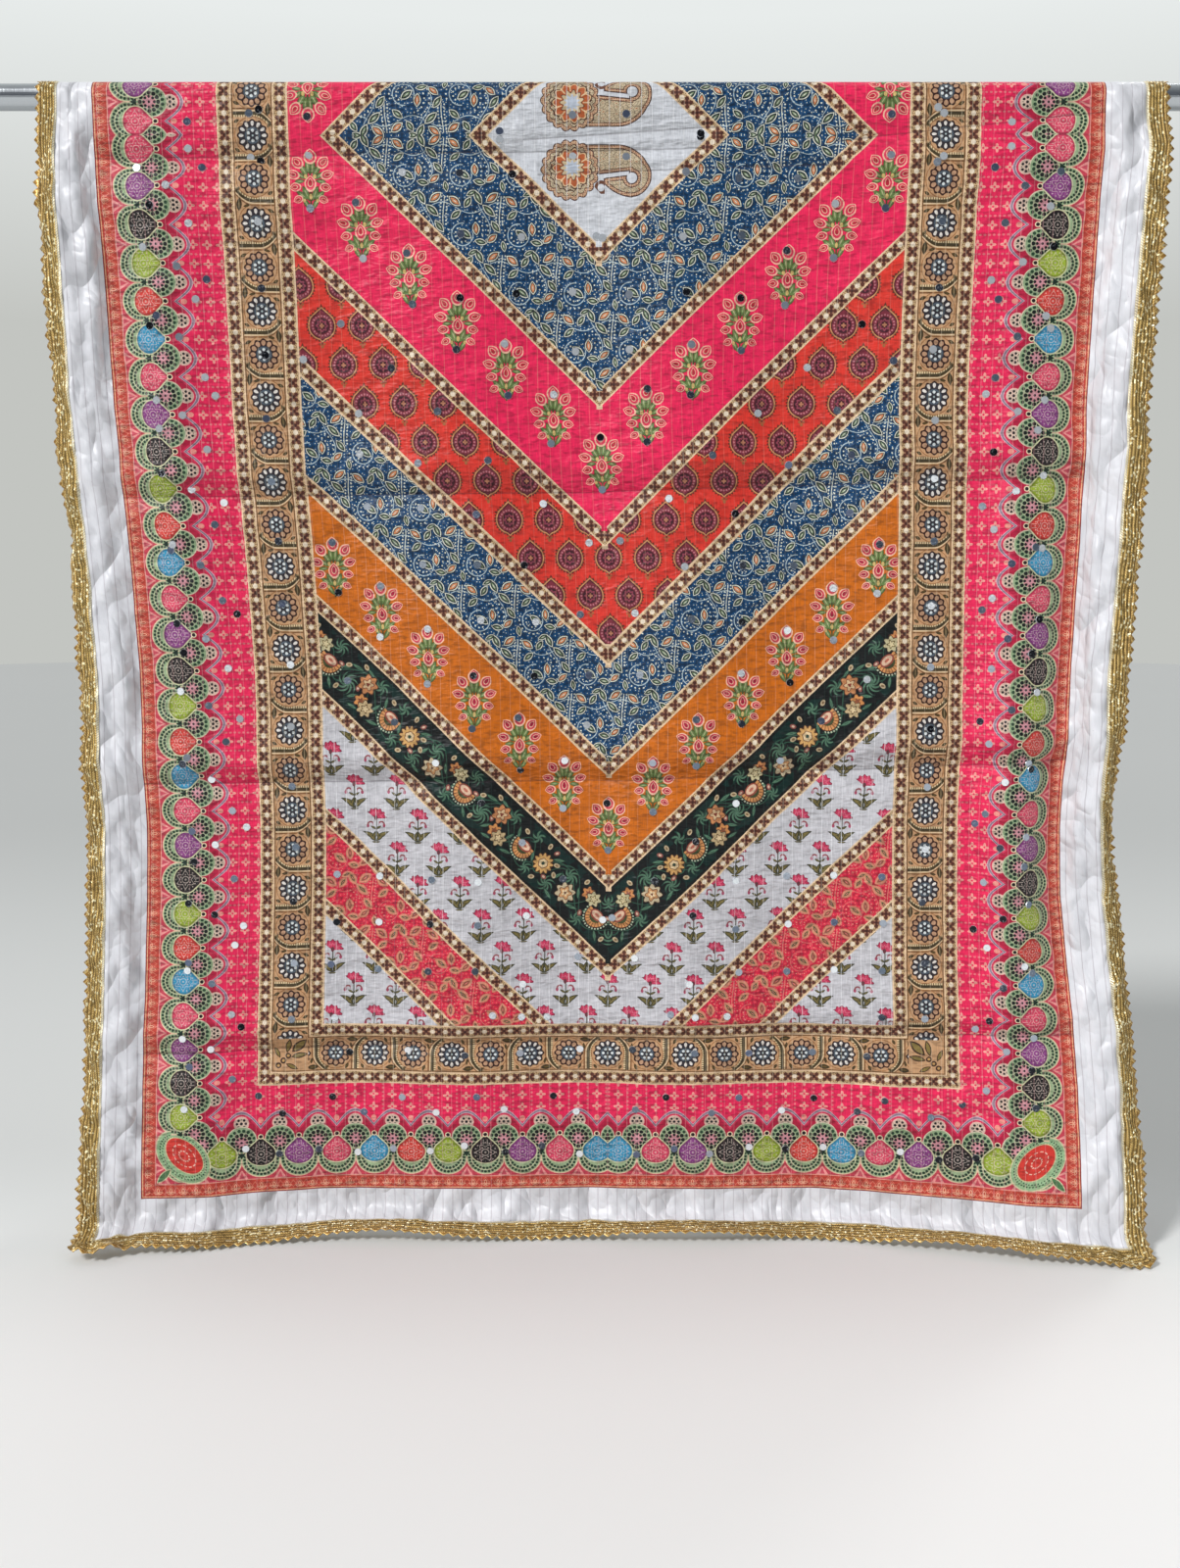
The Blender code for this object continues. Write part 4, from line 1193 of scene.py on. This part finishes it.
def dark_floral(finish, place, u, q):
    """Peonies, daisies, half blooms and leaves on black, mirrored at the point of the band."""
    across = (down_arm(u, q) - DARK_START) / ARM
    along = (abs(u) - (abs(q) - DARK_START) * SLOPE) / ARM
    x = (along - 16.5).repeated(DARK_PERIOD)
    here = finish.vector(x, across)
    cloud = finish.noise(place, 22.0, 22.0)
    finish.paint((cloud > 0.50) & (abs(across) > 17.0), (5, 40, 36))
    sway = 4 * math.pi / DARK_PERIOD
    stem = (across - (x * sway + 0.9).sine() * 15.0).near(0.0, 0.8)
    stem = stem | (across + (x * sway * 2.0 + 0.4).sine() * 12.0).near(0.0, 0.7)
    finish.paint(stem | (across - (x * sway + 1.4).sine() * 19.0).near(0.0, 0.6), (50, 88, 70))
    for spray_x, spray_y, count, edge, depth in SPRAYS:
        radius, turn = finish.around(x - spray_x, across - spray_y)
        swirl = turn + radius * 0.15
        finish.paint(finish.petals(radius, swirl, count, edge + 0.7, depth * 0.8), (28, 62, 50))
        finish.paint(finish.petals(radius, swirl, count, edge - 1.2, depth * 0.8), (86, 122, 98))
    leaves = finish.least(finish.leaf, here, DARK_LEAVES)
    finish.layers(leaves, (1.0, (26, 60, 48)), (0.62, (92, 128, 102)), (0.14, (48, 92, 72)))
    for i, (bud_x, bud_y) in enumerate(DARK_BUDS):
        bud = finish.size(finish.moved(here, bud_x, bud_y, 40.0 * i, 3.4, 2.3))
        finish.paint(bud < 1.0, (150, 84, 76) if i % 3 == 0 else (206, 184, 148))
        finish.paint(bud < 0.5, (226, 190, 164) if i % 3 == 0 else (150, 120, 84))
    for bloom_x, bloom_y, rings in BLOOMS:
        radius, turn = finish.around(x - bloom_x, across - bloom_y)
        for count, edge, depth, colour in rings:
            finish.paint(finish.petals(radius, turn, count, edge, depth), colour)
    for bloom_x, bloom_y in HALF_BLOOMS:
        half, turn = finish.around(x - bloom_x, (across - bloom_y) * 0.9)
        front = across > bloom_y - 3.0
        finish.paint(finish.beads(half, turn, 13.6, 28, 0.9) & front, (196, 204, 176))
        finish.paint((half < 12.2) & front, (110, 62, 36))
        gaps = (turn * 10.0).sine().near(0.0, 0.34)
        finish.paint((half < 11.6) & front & (gaps < 0.5), (224, 156, 96))
        finish.paint((half < 7.4) & front, (74, 78, 44))
        for down, long, wide, colour in HALF_HEARTS:
            finish.paint(finish.oval(here, bloom_x, bloom_y - down, 0, long, wide) < 1.0, colour)
    finish.paint(abs(across) > 25.4, (6, 12, 12))


# The paisleys' filling: how far in each colour starts
FILIGREE = ((-1, (98, 70, 52)), (0.06, (230, 210, 176)), (0.17, (150, 138, 104)),
            (0.23, (228, 208, 176)), (0.37, (172, 116, 80)))


def paisleys(finish, _, u, q):
    """Two mirrored paisleys on the white middle diamond."""
    down = abs(q)
    here = finish.vector(u, down)
    disc = finish.size(finish.moved(here, 32.3, 38.7)) - 19.4
    top = finish.reach((u - 18.5) | 0.0, down - 39.8) - 31.6
    body = top | (down - 37.0) | (-16.0 - u)
    belly = finish.size(finish.moved(here, 35.7, 16.6)) - 42.0
    tail = belly | (42.5 - u * 0.24 - down) | (u - 33.0) | (5.2 - u)
    notch = (abs(down + u * 0.1 - 39.3) - 2.1) | (u - 30.0)
    hollow = notch & (finish.size(finish.moved(here, 32.6, 40.9)) - 5.3)
    hook = finish.size(finish.moved(here, 2.4, 49.4)).near(5.0, 1.6)
    hook = hook & ((u < 6.0) & (down < 55.0) & (down - u < 53.0))
    shape = (disc & body & tail) | (hollow * -1.0)
    edge_dots = finish.cells(here, 0.62, 0.25)
    filler = finish.cells(finish.moved(here, 0, 0, 30, 1.6, 0.8), 0.30, 0.9, "DISTANCE_TO_EDGE")

    def filigree(mask):
        """Brown, tan and greenish leaves closely set."""
        for depth, colour in FILIGREE:
            finish.paint(mask & (filler > depth), colour)

    finish.layers(shape, (0.3, (70, 42, 34)), (-0.8, (224, 188, 150)))
    finish.paint((shape < -0.8) & (edge_dots < 0.36), (146, 78, 66))
    finish.paint(shape < -3.0, (84, 54, 40))
    filigree(shape < -3.8)
    finish.paint(hook, (112, 70, 52))
    radius, angle = finish.around(u + 28.0, down - 32.4)
    scallop = (radius - abs((angle * 9.0).cosine()) * 2.6) | (27.4 - down)
    finish.layers(scallop, (26.6, (74, 46, 38)), (25.6, (224, 190, 152)))
    finish.paint((scallop < 25.6) & (edge_dots < 0.36), (150, 84, 66))
    finish.paint(scallop < 22.6, (84, 54, 40))
    filigree(scallop < 21.8)
    scallops = abs((angle * 9.0).sine()) * 2.0 + radius
    finish.paint(scallops.near(20.8, 0.6) & (scallop < 22.0), (84, 54, 42))
    radius, angle = finish.around(u + 26.0, down - 30.4)
    petal = radius + (angle * 11.0).cosine() * 1.6
    finish.layers(petal, (19.0, (82, 48, 36)), (17.8, (228, 190, 146)), (16.4, (190, 96, 50)))
    finish.paint(((angle * 11.0).cosine() > 0.86) & radius.near(14.0, 3.4), (236, 200, 156))
    finish.layers(petal, (11.0, (96, 58, 44)), (10.0, (214, 190, 152)))
    finish.paint(radius + (angle * 10.0).cosine() * 1.4 < 6.6, (196, 204, 218))


# The border's drops: pitch and start down the sides and along the ends, and the width they are
# drawn in
DROP_PITCH = (36.2, 39.8)
DROP_START = (13.0, 11.5)
DROP_CELL = 38.0
DROP_COLOURS = (
    (232, 70, 104), (146, 64, 138), (10, 10, 12), (160, 182, 50), (224, 62, 52), (50, 158, 200),
)


def border_field(finish, t, off, between):
    """Small flowers and dots on the pink ground."""
    far = t.near(104.0, 18.5)
    flower, turn = finish.around(between & off, (t - 92.0).repeated(13.4))
    finish.paint(finish.petals(flower, turn, 4, 3.5, 1.4) & far, (252, 164, 154))
    finish.paint((flower < 1.1) & far, (246, 38, 92))
    dots = finish.reach((off - 9.5) * 1.3, (t - 89.6).repeated(4.5))
    finish.paint((dots < 1.4) & far, (244, 124, 132))


def border_wave(finish, t, off):
    """The wave where the pink ground ends, with a tuft on each crest."""
    wave = t - (off * (math.pi / DROP_CELL)).sine() * 16.0 - 71.6
    finish.layers(wave, (1.9, (226, 190, 204)), (1.2, (150, 128, 146)), (-1.0, (214, 198, 206)),
                  (-1.6, (222, 50, 90)), (-4.6, (190, 26, 66)))
    cusp = finish.reach(off * 1.2, t - 79.4)
    finish.paint((cusp < 3.2) & (wave > 1.9), (252, 158, 146))


def onions(finish, t, between):
    """Lattice onions between the drops, each under a small ball."""
    top, turn = finish.around(between, t - 76.4)
    finish.layers(top, (7.6, (244, 186, 176)), (6.7, (222, 196, 176)))
    finish.paint(finish.beads(top, turn, 4.3, 7, 1.35) | (top < 1.5), (22, 18, 24))
    ball = finish.reach(between, t - 58.5) - 13.8
    neck = (between * 0.63 - (t - 40.5) * 0.777) | (t - 48.0)
    egg = ball & neck
    finish.layers(egg, (1.4, (214, 204, 176)), (0.3, (150, 174, 134)))
    onion, turn = finish.around(between, t - 56.0)
    finish.paint(finish.beads(onion, turn, 13.2, 18, 1.7) & (egg < 0.0), (34, 66, 44))
    finish.paint(onion < 11.0, (174, 180, 148))
    finish.paint(finish.beads(onion, turn, 8.9, 12, 2.0), (10, 18, 18))
    finish.paint(onion < 6.6, (214, 150, 156))
    finish.paint(finish.beads(onion, turn, 5.2, 8, 1.45), (14, 14, 20))
    finish.layers(onion, (2.6, (224, 160, 172)), (1.3, (14, 14, 18)))


def scallops(finish, t, x, between):
    """Dotted scallops round the drops, on coral."""
    scallop, turn = finish.around(x, t - 36.1)
    low = t < 45.0
    finish.paint(t < 36.0, (212, 70, 88))
    finish.paint((between < (25.5 - t) * 0.62) & t.near(20.5, 5.2), (248, 158, 154))
    finish.paint((between < (23.0 - t) * 0.4) & t.near(20.5, 4.4), (216, 84, 100))
    finish.layers(scallop, (19.6, (236, 206, 172)), (18.4, (166, 187, 146)), within=low)
    squeezed = scallop * 0.72
    dots = finish.beads(squeezed, turn, 11.7, 28, 1.05) | finish.beads(squeezed, turn, 8.9, 22, 1.05)
    finish.paint(dots & low, (34, 60, 42))
    finish.paint(scallop.near(14.3, 0.3) & low, (222, 212, 176))
    finish.paint((between < (t - 37.0) * 0.55) & t.near(40.4, 3.2), (18, 44, 32))


def teardrops(finish, place, t, x, kind):
    """The drops: six colours in turn, with a pale flower drawn on each."""
    rise = t - 42.2
    off = abs(x)
    ball = finish.reach(x, rise * 1.16) - 14.3
    drop = ball & ((off * 0.70 + rise * 0.71 - 13.2) | (8.4 - rise))
    finish.paint(drop < 1.3, (216, 214, 172))
    finish.paint(drop < 0.0, finish.ramp(kind, [(i / 6, c) for i, c in enumerate(DROP_COLOURS)]))
    finish.paint(((drop > -1.8) & (drop < 0.0)) * 0.35, (60, 24, 40))
    centre, turn = finish.around(x, rise + 0.5)
    lines = (centre - (turn * 6.0).cosine() * 1.7).near(7.8, 0.42) | centre.near(3.6, 0.42)
    lines = lines | finish.beads(centre, turn, 10.8, 16, 0.75) | finish.beads(centre, turn, 5.6, 6, 0.8)
    lines = lines | (centre < 1.1) | (off.near(2.0, 0.4) & rise.near(11.2, 2.6))
    speckle = finish.noise(place, 1.1, 1.1)
    finish.paint((lines | ((speckle > 0.66) * 0.3)) * (drop < -1.6) * 0.5, (246, 226, 214))
    tip = finish.reach(x, t - 61.6)
    finish.layers(tip, (2.9, (248, 226, 190)), (1.9, (26, 14, 20)))


def border_corner(finish, u, q, side, end):
    """A round pad and a tongue across each corner."""
    c1, c2 = finish.parts(finish.moved(finish.vector(side, end), 0, 0, 45))
    corner = (c1 < 92.0) & (side < 74.0) & (end < 74.0)
    near_corner = corner & (((abs(u) > 462.0) | (abs(q) > 1010.0)) & (abs(c2) < 44.0))
    here = finish.vector(c1, c2)
    pad = finish.oval(here, 62.0, 0, 0, 21.0, 31.5)
    finish.paint(near_corner & (pad < 1.08), (222, 214, 172))
    finish.paint(near_corner & (pad < 1.03), (160, 194, 148))
    bead, turn = finish.around((c1 - 62.0) * 1.5, c2)
    rows = finish.beads(bead, turn, 28.6, 46, 1.0) | finish.beads(bead, turn, 25.4, 42, 0.9)
    finish.paint(near_corner & rows, (30, 70, 46))
    twin = finish.oval(here, 64.0, 0, 0, 14.0, 23.5)
    finish.layers(twin, (1.06, (214, 208, 160)), (1.0, (224, 62, 52)))
    rings = twin.near(0.62, 0.03) | twin.near(0.28, 0.04)
    finish.paint(rings & ((turn * 14.0).cosine() > -0.3), (246, 200, 180))
    tongue = finish.leaf(here, 34.0, 0, 0, 11.0, 4.0)
    finish.layers(tongue, (1.0, (222, 214, 172)), (0.72, (84, 128, 84)))


def edge_strip(finish, t, x):
    """Zigzags and trefoils along the print's edge."""
    finish.layers(t, (15.4, (236, 158, 142)), (14.4, (204, 72, 58)))
    unit = x.repeated(DROP_CELL / 3)
    zigzag = (abs(unit) * 1.5 - t + 2.6).near(0.0, 0.6) | (abs(unit) * 1.5 + t - 13.6).near(0.0, 0.6)
    finish.paint(zigzag & (t < 14.0), (230, 128, 106))
    here = finish.vector(abs(unit), t)
    trefoil = finish.least(finish.tear, here, ((0.0, 8.2, 90, 3.3, 1.7), (2.2, 5.7, 20, 2.5, 1.3)))
    finish.layers(trefoil, (1.0, (244, 176, 146)), (0.4, (206, 70, 50)))
    finish.paint(t.near(1.8, 0.5), (250, 190, 150))
    finish.paint(t < 0.9, (150, 50, 50))


def drop_border(finish, place, u, q):
    """Teardrops, dotted scallops and lattice onions under a wave, on hot pink."""
    side = PRINT_EDGE[0] * 1000 - abs(u)
    end = PRINT_EDGE[1] * 1000 - abs(q)
    on_side = side < end
    t = side & end
    beside = (abs(q) - DROP_START[0]) / DROP_PITCH[0]
    below = (abs(u) - DROP_START[1]) / DROP_PITCH[1]
    count = below + (beside - below) * on_side
    whole = round(count)
    x = (count - whole) * DROP_CELL
    off = abs(x)
    between = DROP_CELL / 2 - off
    border_field(finish, t, off, between)
    border_wave(finish, t, off)
    onions(finish, t, between)
    scallops(finish, t, x, between)
    teardrops(finish, place, t, x, ((whole - 1.0 + on_side) % 6.0 + 0.5) / 6.0)
    border_corner(finish, u, q, side, end)
    edge_strip(finish, t, x)


REVERSE_TINTS = {
    "paisley_centre": (226, 224, 226), "flower_trim": (206, 182, 150), "blue_vine": (104, 126, 152),
    "pink_bouquet": (224, 128, 156), "red_medallion": (222, 132, 112),
    "orange_bouquet": (220, 168, 108), "black_floral": (96, 112, 108),
    "white_carnation": (226, 220, 224), "coral_vine": (222, 138, 150),
}


def reverse_side(finish, _, u, q):
    """The wrong side: the print's bands show through, pale."""
    starts = [0.0] + [edge * 1000 / RAMP_REACH for edge, _ in BANDS[:-1]]
    shown = finish.ramp(down_arm(u, q) / RAMP_REACH,
                        [(low, REVERSE_TINTS[name]) for low, (_, name) in zip(starts, BANDS)])
    for (half_u, half_q), colour in ((PRINT_EDGE, (224, 132, 150)), (FRAME_OUTER, (200, 170, 136)),
                                     (FRAME_INNER, shown)):
        finish.paint((abs(u) < half_u * 1000) & (abs(q) < half_q * 1000), colour)


# Width of one cord of the lace, millimetres
CORD_PITCH = 3.3


def gold_lace():
    """Twisted gold cords side by side, with small solid teeth on the outer edge; painted highlights,
    glints and shade on the cords and teeth.
    """
    finish = Finish("gold_lace", (206, 168, 90))
    place, across, run = finish.flat("lace_flat")
    teeth = (LACE_WIDTH - TOOTH_HEIGHT) * 1000
    outer = finish.node("ShaderNodeMapRange", {}, (across, 12.0, teeth, 0.0, 1.0))
    finish.paint(outer * 0.7, (184, 138, 68))
    cord = across / CORD_PITCH
    groove = (cord * (2 * math.pi)).cosine() * 0.5 + 0.5
    side = round(cord) % 2.0
    twist = (run * 2.6 + across * (side * 4.4 - 2.2)).sine() * 0.5 + 0.5
    on_cords = across < teeth
    # Painted shade in the grooves between the cords
    finish.paint((groove > 0.72) * 0.75 * on_cords, (84, 66, 34))
    # Painted highlight on the crests of the twists, and painted shade in their hollows
    finish.paint((twist > 0.70) * (1.0 - groove) * on_cords * 0.7, (240, 222, 168))
    finish.paint((twist < 0.20) * on_cords * 0.45, (104, 80, 40))
    # Painted glints on scattered cells, and painted shade on others
    glint_cells, _ = finish.parts(finish.cells(finish.moved(place, 0, 0, 0, 1.5, 2.1), 1.0, out=1))
    finish.paint((glint_cells > 0.87) * 0.9, (255, 246, 206))
    finish.paint((glint_cells < 0.20) * on_cords * 0.55, (88, 68, 30))
    tip = abs(run.repeated(TOOTH_PITCH * 1000))
    slant = across - teeth + tip
    finish.paint((across > teeth) * 0.5, (150, 106, 46))
    # Painted highlight on the raised rim of each tooth
    rim = slant.near(4.6, 0.9) & (across > teeth)
    finish.paint(rim * 0.8, (236, 206, 134))
    finish.paint((across < 1.0) * (twist * 0.5 + 0.5), (240, 232, 204))
    finish.shader.inputs["Metallic"].default_value = 0.68
    height = (1.0 - groove) * on_cords * 0.8 + twist * on_cords * 0.4 + rim * 0.5 + glint_cells * 0.3
    return finish.done(0.38 + (1.0 - glint_cells) * 0.16, height, 0.0009)


def rail_steel():
    """Polished tube, with faint rings from drawing it."""
    finish = Finish("steel_rail", (176, 180, 184))
    rings = finish.cloud(1.0, stretch=(700.0, 6.0, 6.0))
    finish.paint(rings * 0.4, (206, 209, 212))
    smear = finish.cloud(22.0, 3.0)
    finish.paint((smear > 0.66) * 0.2, (140, 142, 146))
    finish.shader.inputs["Metallic"].default_value = 1.0
    return finish.done(0.14 + smear * 0.16, rings * 0.4, 0.0002)


def mirror_glass():
    """Small foil-backed mirrors: each its own painted reflection tone, with a dull cut edge."""
    finish = Finish("mirror_disc", (214, 220, 226))
    _, shade, ring = finish.flat("mirror_shade")
    # Painted reflection: each mirror's face gets a tone from white through grey and dark to blue
    painted_reflection = finish.ramp(shade / 1000.0, ((0.0, (238, 242, 246)), (0.30, (168, 176, 188)),
                                        (0.46, (112, 124, 140)), (0.62, (66, 72, 84)),
                                        (0.74, (28, 30, 36)), (0.90, (98, 108, 132))))
    finish.paint(1.0 - (ring > 900.0) * 1.0, painted_reflection)
    cloud = finish.cloud(420.0)
    finish.paint((cloud > 0.62) * 0.35, (196, 202, 210))
    finish.shader.inputs["Metallic"].default_value = 0.72
    return finish.done(0.10 + cloud * 0.22, cloud, 0.0003)


def floor_paper():
    """Pale matt paper, with painted shade that darkens it toward the back."""
    finish = Finish("floor_paper", (238, 238, 237))
    soft = finish.cloud(0.7)
    _, y = finish.parts(finish.node("ShaderNodeTexCoord", {}, (), out=3))
    # Painted shade: the paper darkens from the front toward the back
    finish.colour = finish.ramp((y + 0.4) / 3.0, ((0.0, (238, 238, 237)), (0.22, (198, 199, 198)),
                                                  (1.0, (170, 171, 170))), "EASE")
    finish.paint(soft * 0.06, (222, 220, 219))
    return finish.done(0.75)


# The prints: ground, pattern, the pattern's own colours and places, then the pinstripe's
# colour and strength and how dark the painted shade of the puckers is
PRINTS = {
    "drop_border": ((246, 38, 92), drop_border, (), (244, 190, 190), 0.3, 0.62),
    "rosette_frame": (TAN, frame_print, (), (226, 210, 180), 0.35, 0.62),
    "flower_trim": (TAN, trim, (), (230, 215, 190), 0.35, 0.62),
    "paisley_centre": ((222, 224, 230), paisleys, (), (250, 250, 252), 0.6, 0.26),
    "blue_vine": ((2, 70, 116), vine,
                  ((6, 36, 64), (230, 232, 216), (188, 206, 212),
                   ((222, 144, 96), (112, 132, 96)), (16, 30, 44), (-79.6, 149.0)),
                  (150, 170, 190), 0.16, 0.62),
    "pink_bouquet": ((250, 36, 92), bouquet,
                     (315.4, (47.2, 45.1), (255, 196, 168), (196, 40, 60), (236, 58, 92)),
                     (255, 196, 168), 0.22, 0.62),
    "red_medallion": ((232, 58, 46), medallions, (), (240, 150, 130), 0.3, 0.62),
    "orange_bouquet": ((216, 112, 16), bouquet,
                       (684.0, (47.2, 44.2), (255, 200, 172), (176, 30, 62), (214, 66, 84)),
                       (255, 200, 172), 0.22, 0.62),
    "black_floral": ((7, 13, 14), dark_floral, (), (70, 110, 100), 0.15, 0.62),
    "white_carnation": ((212, 210, 215), carnations, (), (250, 250, 252), 0.6, 0.26),
    "coral_vine": ((232, 44, 74), vine,
                   ((170, 26, 54), (240, 140, 126), (232, 108, 106),
                    ((150, 80, 66), (72, 78, 50)), (204, 150, 110), (-237.7, 782.9)),
                   (150, 170, 190), 0.16, 0.62),
    "reverse": ((226, 220, 222), reverse_side, (), (210, 206, 212), 0.4, 0.62),
}
finishes = {"white_edge": plain_edge()}
for name, look in PRINTS.items():
    finishes[name] = woven(name, *look)

# Rows of points: close together where the cloth bends over the rail, then about CELL apart
BEND_END = 0.027
BEND_ROWS, FRONT_ROWS, BACK_ROWS = 15, 193, 174
front_rows = np.concatenate((np.linspace(-QUARTER_TURN, BEND_END, BEND_ROWS)[:-1],
                             np.linspace(BEND_END, FRONT_END - LACE_WIDTH, FRONT_ROWS)))
back_rows = np.linspace(LACE_WIDTH - BACK_END, -QUARTER_TURN, BACK_ROWS)
front_cloth = cloth("front_cloth", front_rows, finishes)
back_cloth = cloth("back_cloth", back_rows, finishes)
gold = gold_lace()
front_lace = lace("front_gold_lace", FRONT_END, gold)
back_lace = lace("back_gold_lace", -BACK_END, gold)
glass = mirror_glass()
front_mirrors = mirrors("front_mirrors", True, glass)
back_mirrors = mirrors("back_mirrors", False, glass)
rod = bpy.data.objects["rod"]
for slot in rod.material_slots:
    slot.material = rail_steel()

# Camera, floor and light; the camera dips a little below level
LENS = 35.93
CAMERA_PLACE = (-0.0085, -1.613, -0.435)
CAMERA_DIP = 8.6
FLOOR_RADIUS, FLOOR_LEVEL = 9.0, -1.1605

camera_data = bpy.data.cameras.new("camera")
camera_data.lens = LENS
camera = bpy.data.objects.new("camera", camera_data)
camera.location = CAMERA_PLACE
camera.rotation_euler = (math.radians(90.0 - CAMERA_DIP), 0.0, 0.0)
bpy.context.scene.collection.objects.link(camera)
bpy.context.scene.camera = camera
bpy.context.scene.view_settings.view_transform = "Standard"

floor_shape = bmesh.new()
bmesh.ops.create_circle(floor_shape, cap_ends=True, segments=96, radius=FLOOR_RADIUS)
bmesh.ops.translate(floor_shape, verts=floor_shape.verts, vec=(0.0, 0.0, FLOOR_LEVEL))
floor = link("floor", mesh_of(floor_shape, "floor", [floor_paper()]))

# Background: darker below, and behind the camera; the wall is paler upward
world = bpy.data.worlds.new("studio")
world.use_nodes = True
studio = Nodes(world.node_tree)
split = studio.node("ShaderNodeSeparateXYZ", {}, (studio.node("ShaderNodeTexCoord", {}, ()),), out=1)
upward = Value(studio, split.socket.node.outputs[2])
height = studio.node("ShaderNodeMapRange", {}, (upward, 0.13, 0.30, 0.0, 1.0))
depth = studio.node("ShaderNodeMapRange", {}, (split, -0.9, 0.5, 0.0, 1.0))
wall = studio.mix(height, linear(195, 197, 193), linear(232, 236, 235))
sweep = studio.mix(depth, linear(112, 116, 122), wall)
studio.join(studio.tree.nodes["Background"].inputs["Color"], sweep)
bpy.context.scene.world = world


def soft_sun(name, toward, spread, strength):
    """Even light from far off, as soft as its spread in degrees."""
    data = bpy.data.lights.new(name, "SUN")
    data.angle = math.radians(spread)
    data.energy = strength
    light = bpy.data.objects.new(name, data)
    light.rotation_euler = Vector(toward).to_track_quat("Z", "Y").to_euler()
    bpy.context.scene.collection.objects.link(light)


soft_sun("front_light", toward=(-0.55, -0.55, 0.68), spread=11, strength=2.38)
soft_sun("back_light", toward=(0.45, 0.65, 0.66), spread=14, strength=0.35)

for piece in (front_cloth, back_cloth, front_lace, back_lace, front_mirrors, back_mirrors):
    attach(piece, "root")
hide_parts("front_fall", "over_rail")
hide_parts("back_fall")
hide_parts("front_lace_left", "front_lace_right", "front_hem_lace",
            "lace_over_rail_left", "lace_over_rail_right")
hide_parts("back_lace_left", "back_lace_right", "back_hem_lace")
